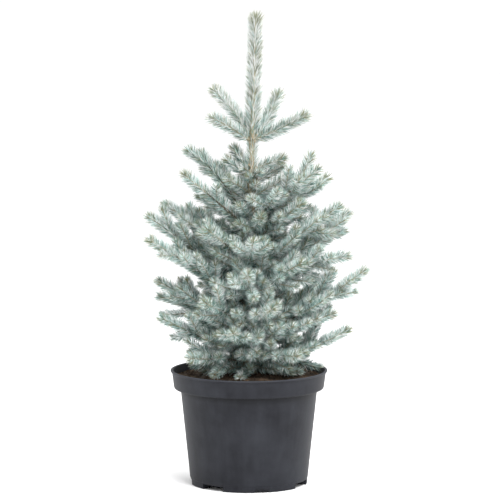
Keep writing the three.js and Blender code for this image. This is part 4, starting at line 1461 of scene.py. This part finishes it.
def needle_finish(name, tint, deep):
    """A waxy needle: its colour shifts a little towards the older green, with a soft sheen."""
    finish = Finish(name)
    wax = finish.noise(160, detail=2)
    base = finish.mix(finish.ramp(wax, 0.35, 0.8) * 0.3, tint, deep)
    return finish.surface(Base_Color=base, Roughness=0.55, Specular_IOR_Level=0.35)


class SPRUCE_OT_needles(bpy.types.Operator):
    """Dress every twig with needles: a golden angle apart round it, tinted by spray"""

    bl_idname = "spruce.needles"
    bl_label = "Needles"

    def execute(self, context):
        spruce = context.scene.spruce
        crown = spruce.crown
        grown = grow_crown(spruce)
        foot, top = trunk_middle(np.array([TRUNK_NEEDLES_FOOT, LEADER_FOOT]), spruce.wood)
        sleeve = Twig(np.stack([foot, (foot + top) / 2, top]), 0, "sleeve", 0, SLEEVE_SEASON)
        needles = Needles([*grown.twigs, sleeve, grown.leader], crown)
        kept = needles.are_clear(spruce.pot, spruce.soil)
        for i, name in enumerate(TINTS):
            chosen = needles.points[kept & (needles.tints == i)]
            finish = needle_finish(f"{name}_needles", getattr(crown, name), crown.deep)
            for part in range(0, len(chosen), NEEDLES_IN_PIECE):
                some = chosen[part:part + NEEDLES_IN_PIECE]
                faces = NEEDLE_TRIANGLES[None] + 4 * np.arange(len(some))[:, None, None]
                label = f"needles_{name}_{part // NEEDLES_IN_PIECE + 1}"
                add_piece(label, some.reshape(-1, 3), [faces.reshape(-1, 3)], finish, CROWN_NODES,
                          "needles", smooth=False)
        return {"FINISHED"}


# ---- Buds ----

BUD_PROFILE = np.array([(0, 0.6), (0.35, 1), (0.8, 0.5)])  # along and across, of its length
BUD_ANGLES = 2 * math.pi * np.arange(5) / 5
BUD_WIDTH = 0.27  # its widest radius, as a share of its length
BUDS_AT_TIP = 3  # one ahead and the others beside it
LEADER_BUD = 1.4  # length of the leader's own bud, as a share of the bud setting
SIDE_BUD = 0.7  # length of a bud beside another, as a share of it
SIDE_BUD_SPLAY = 0.75  # how far it points aside, where ahead is 1
BUD_SPREAD = 0.2  # how much a bud's length varies either way round 0.8 of the bud setting
OLD_SCALES = 4  # left round the trunk at the foot of each twig that grows on it
OLD_SCALE_LENGTH = 2  # in buds
OLD_SCALE_STEP = 2.5 * MM
OLD_SCALE_CLIMB = 1.2  # how far it points up, where away from the trunk is 1
OLD_SCALE_PLACE = 1.1  # from the trunk's middle, in radii of the trunk


def bud_finish(crown):
    """Bud scales: brown, papery, darker between the scales."""
    finish = Finish("bud_scales")
    scales = finish.cells(900)
    base = finish.mix(finish.ramp(scales, 0.1, 0.6) * 0.6, crown.bud_scales, crown.young_bark)
    return finish.surface(Base_Color=base, Roughness=0.65, Normal=finish.bump(scales, 0.3 * MM))


def bud_mesh(root, axis, grown):
    """A pointed five-sided bud of length grown, from its root along its axis."""
    first = unit(np.cross(axis, UP + 0.1 * RIGHT))
    second = np.cross(axis, first)
    spread = np.cos(BUD_ANGLES)[:, None] * first + np.sin(BUD_ANGLES)[:, None] * second
    return closed_tube(root + BUD_PROFILE[:, :1, None] * grown * axis
                       + BUD_PROFILE[:, 1:, None] * BUD_WIDTH * grown * spread)


class SPRUCE_OT_buds(bpy.types.Operator):
    """Set three buds on every shoot's tip, and old scales where each twig leaves the trunk"""

    bl_idname = "spruce.buds"
    bl_label = "Buds"

    def execute(self, context):
        spruce = context.scene.spruce
        crown = grow_crown(spruce)
        bud = spruce.crown.bud
        parts = []
        for i, twig in enumerate([*crown.twigs, crown.leader]):
            is_leader = twig is crown.leader
            end = 1.0 if is_leader else 1 - TIP_POINT / twig.length
            middle, ahead, across, over = frames(twig.curve, end)
            varied = 1 - BUD_SPREAD + BUD_SPREAD * math.sin(7.3 * i)
            size = bud * (LEADER_BUD if is_leader else varied)
            for k in range(BUDS_AT_TIP):
                turn = math.pi * k + i
                aside = across * math.cos(turn) + over * math.sin(turn)
                axis = unit(ahead + (SIDE_BUD_SPLAY * aside if k else 0))
                grown = SIDE_BUD * size if k else size
                parts.append(bud_mesh(middle + (aside * YOUNG_RADIUS if k else 0), axis, grown))
        for i, stem in enumerate(twig for twig in crown.twigs if twig.parent is None):
            for k in range(OLD_SCALES):
                aside = level_heading(GOLDEN_ANGLE * k + i)
                height = stem.curve[0, 2] + (k - 1) * OLD_SCALE_STEP
                root = trunk_middle(height, spruce.wood)
                parts.append(bud_mesh(root + OLD_SCALE_PLACE * trunk_radius(height) * aside,
                                      unit(aside + OLD_SCALE_CLIMB * UP), OLD_SCALE_LENGTH * bud))
        add_piece("buds", *joined(parts), bud_finish(spruce.crown), CROWN_NODES, "bark")
        return {"FINISHED"}


# ---- Stage ----

FLOOR_RADII = (14, 1, 0.02)  # of its rings, from the outside in
FLOOR_SIDES = 96
SOFTBOX_PLACE = (1.05, -2.2, 3.0)
SOFTBOX_SIZE = 1.6
TOP_LIGHT_PLACE = (0.3, 0.2, 3.0)
TOP_LIGHT_SIZE = 1.8
TOP_LIGHT_SHARE = 0.4  # its power, as a share of the softbox's
CAMERA_ASIDE = 2 * MM  # to the right of the pot's middle


def plain_material(name, tint):
    """A matt material of one colour."""
    finish = Finish(name)
    return finish.surface(Base_Color=(*tint, 1), Roughness=0.9, Specular_IOR_Level=0.1)


def add_light(name, location, target, power, size):
    """A square soft light at location that faces target."""
    light = bpy.data.lights.new(name, "AREA")
    light.energy = power
    light.size = size
    lamp = bpy.data.objects.new(name, light)
    lamp.location = location
    away = np.array(location) - np.array(target)
    lamp.rotation_euler = (math.acos(away[2] / np.linalg.norm(away)), 0,
                           math.atan2(away[1], away[0]) + math.pi / 2)
    bpy.context.scene.collection.objects.link(lamp)


class SPRUCE_OT_stage(bpy.types.Operator):
    """Lay the pale floor, and set the even light, the soft lights and the camera"""

    bl_idname = "spruce.stage"
    bl_label = "Stage"

    def execute(self, context):
        scene = context.scene
        stage = scene.spruce.stage
        angle = 2 * math.pi * np.arange(FLOOR_SIDES) / FLOOR_SIDES
        rings = np.stack([around(radius, angle, 0 * angle) for radius in FLOOR_RADII])
        quads = grid_quads(len(FLOOR_RADII), FLOOR_SIDES)
        mesh = bpy.data.meshes.new("floor")
        mesh.from_pydata(rings.reshape(-1, 3).tolist(), [], quads.tolist())
        mesh.materials.append(plain_material("pale_floor", stage.floor))
        floor = bpy.data.objects.new("floor", mesh)
        scene.collection.objects.link(floor)

        world = bpy.data.worlds.new("daylight")
        world.use_nodes = True
        background = world.node_tree.nodes["Background"]
        background.inputs["Color"].default_value = (1, 1, 1, 1)
        background.inputs["Strength"].default_value = stage.daylight
        scene.world = world
        scene.view_settings.view_transform = "Standard"

        middle = (0, 0, (FRAME_BOX[0][2] + FRAME_BOX[1][2]) / 2)
        add_light("softbox", SOFTBOX_PLACE, middle, stage.softbox, SOFTBOX_SIZE)
        top_power = TOP_LIGHT_SHARE * stage.softbox
        add_light("top_light", TOP_LIGHT_PLACE, middle, top_power, TOP_LIGHT_SIZE)

        lens = bpy.data.cameras.new("camera")
        lens.lens = stage.lens
        camera = bpy.data.objects.new("camera", lens)
        camera.location = (CAMERA_ASIDE, -stage.camera_distance, stage.camera_height)
        camera.rotation_euler = (math.pi / 2 - stage.camera_pitch, 0, 0)
        scene.collection.objects.link(camera)
        scene.camera = camera
        return {"FINISHED"}


# ---- Panel and start ----


class SPRUCE_PT_panel(bpy.types.Panel):
    """Lists the pieces of the potted spruce and the stage."""

    bl_idname = "SPRUCE_PT_panel"
    bl_label = "Potted Blue Spruce"
    bl_space_type = "VIEW_3D"
    bl_region_type = "UI"
    bl_category = "Spruce"

    def draw(self, context):
        for operator in OPERATORS:
            self.layout.operator(operator.bl_idname)


GROUPS = [SprucePot, SpruceSoil, SpruceWood, SpruceCrown, SpruceStage, SpruceSettings]
OPERATORS = [SPRUCE_OT_pot, SPRUCE_OT_soil, SPRUCE_OT_trunk, SPRUCE_OT_twigs, SPRUCE_OT_needles,
             SPRUCE_OT_buds, SPRUCE_OT_stage]


def register():
    """Adds the settings, the operators and the panel to Blender."""
    for kind in [*GROUPS, *OPERATORS, SPRUCE_PT_panel]:
        bpy.utils.register_class(kind)
    bpy.types.Scene.spruce = PointerProperty(type=SpruceSettings)


def unregister():
    """Takes them out again, the last one first."""
    del bpy.types.Scene.spruce
    for kind in reversed([*GROUPS, *OPERATORS, SPRUCE_PT_panel]):
        bpy.utils.unregister_class(kind)


def main():
    """Builds every piece and the stage."""
    register()
    bpy.ops.spruce.pot()
    bpy.ops.spruce.soil()
    bpy.ops.spruce.trunk()
    bpy.ops.spruce.twigs()
    bpy.ops.spruce.needles()
    bpy.ops.spruce.buds()
    bpy.ops.spruce.stage()


if __name__ == "__main__":
    main()
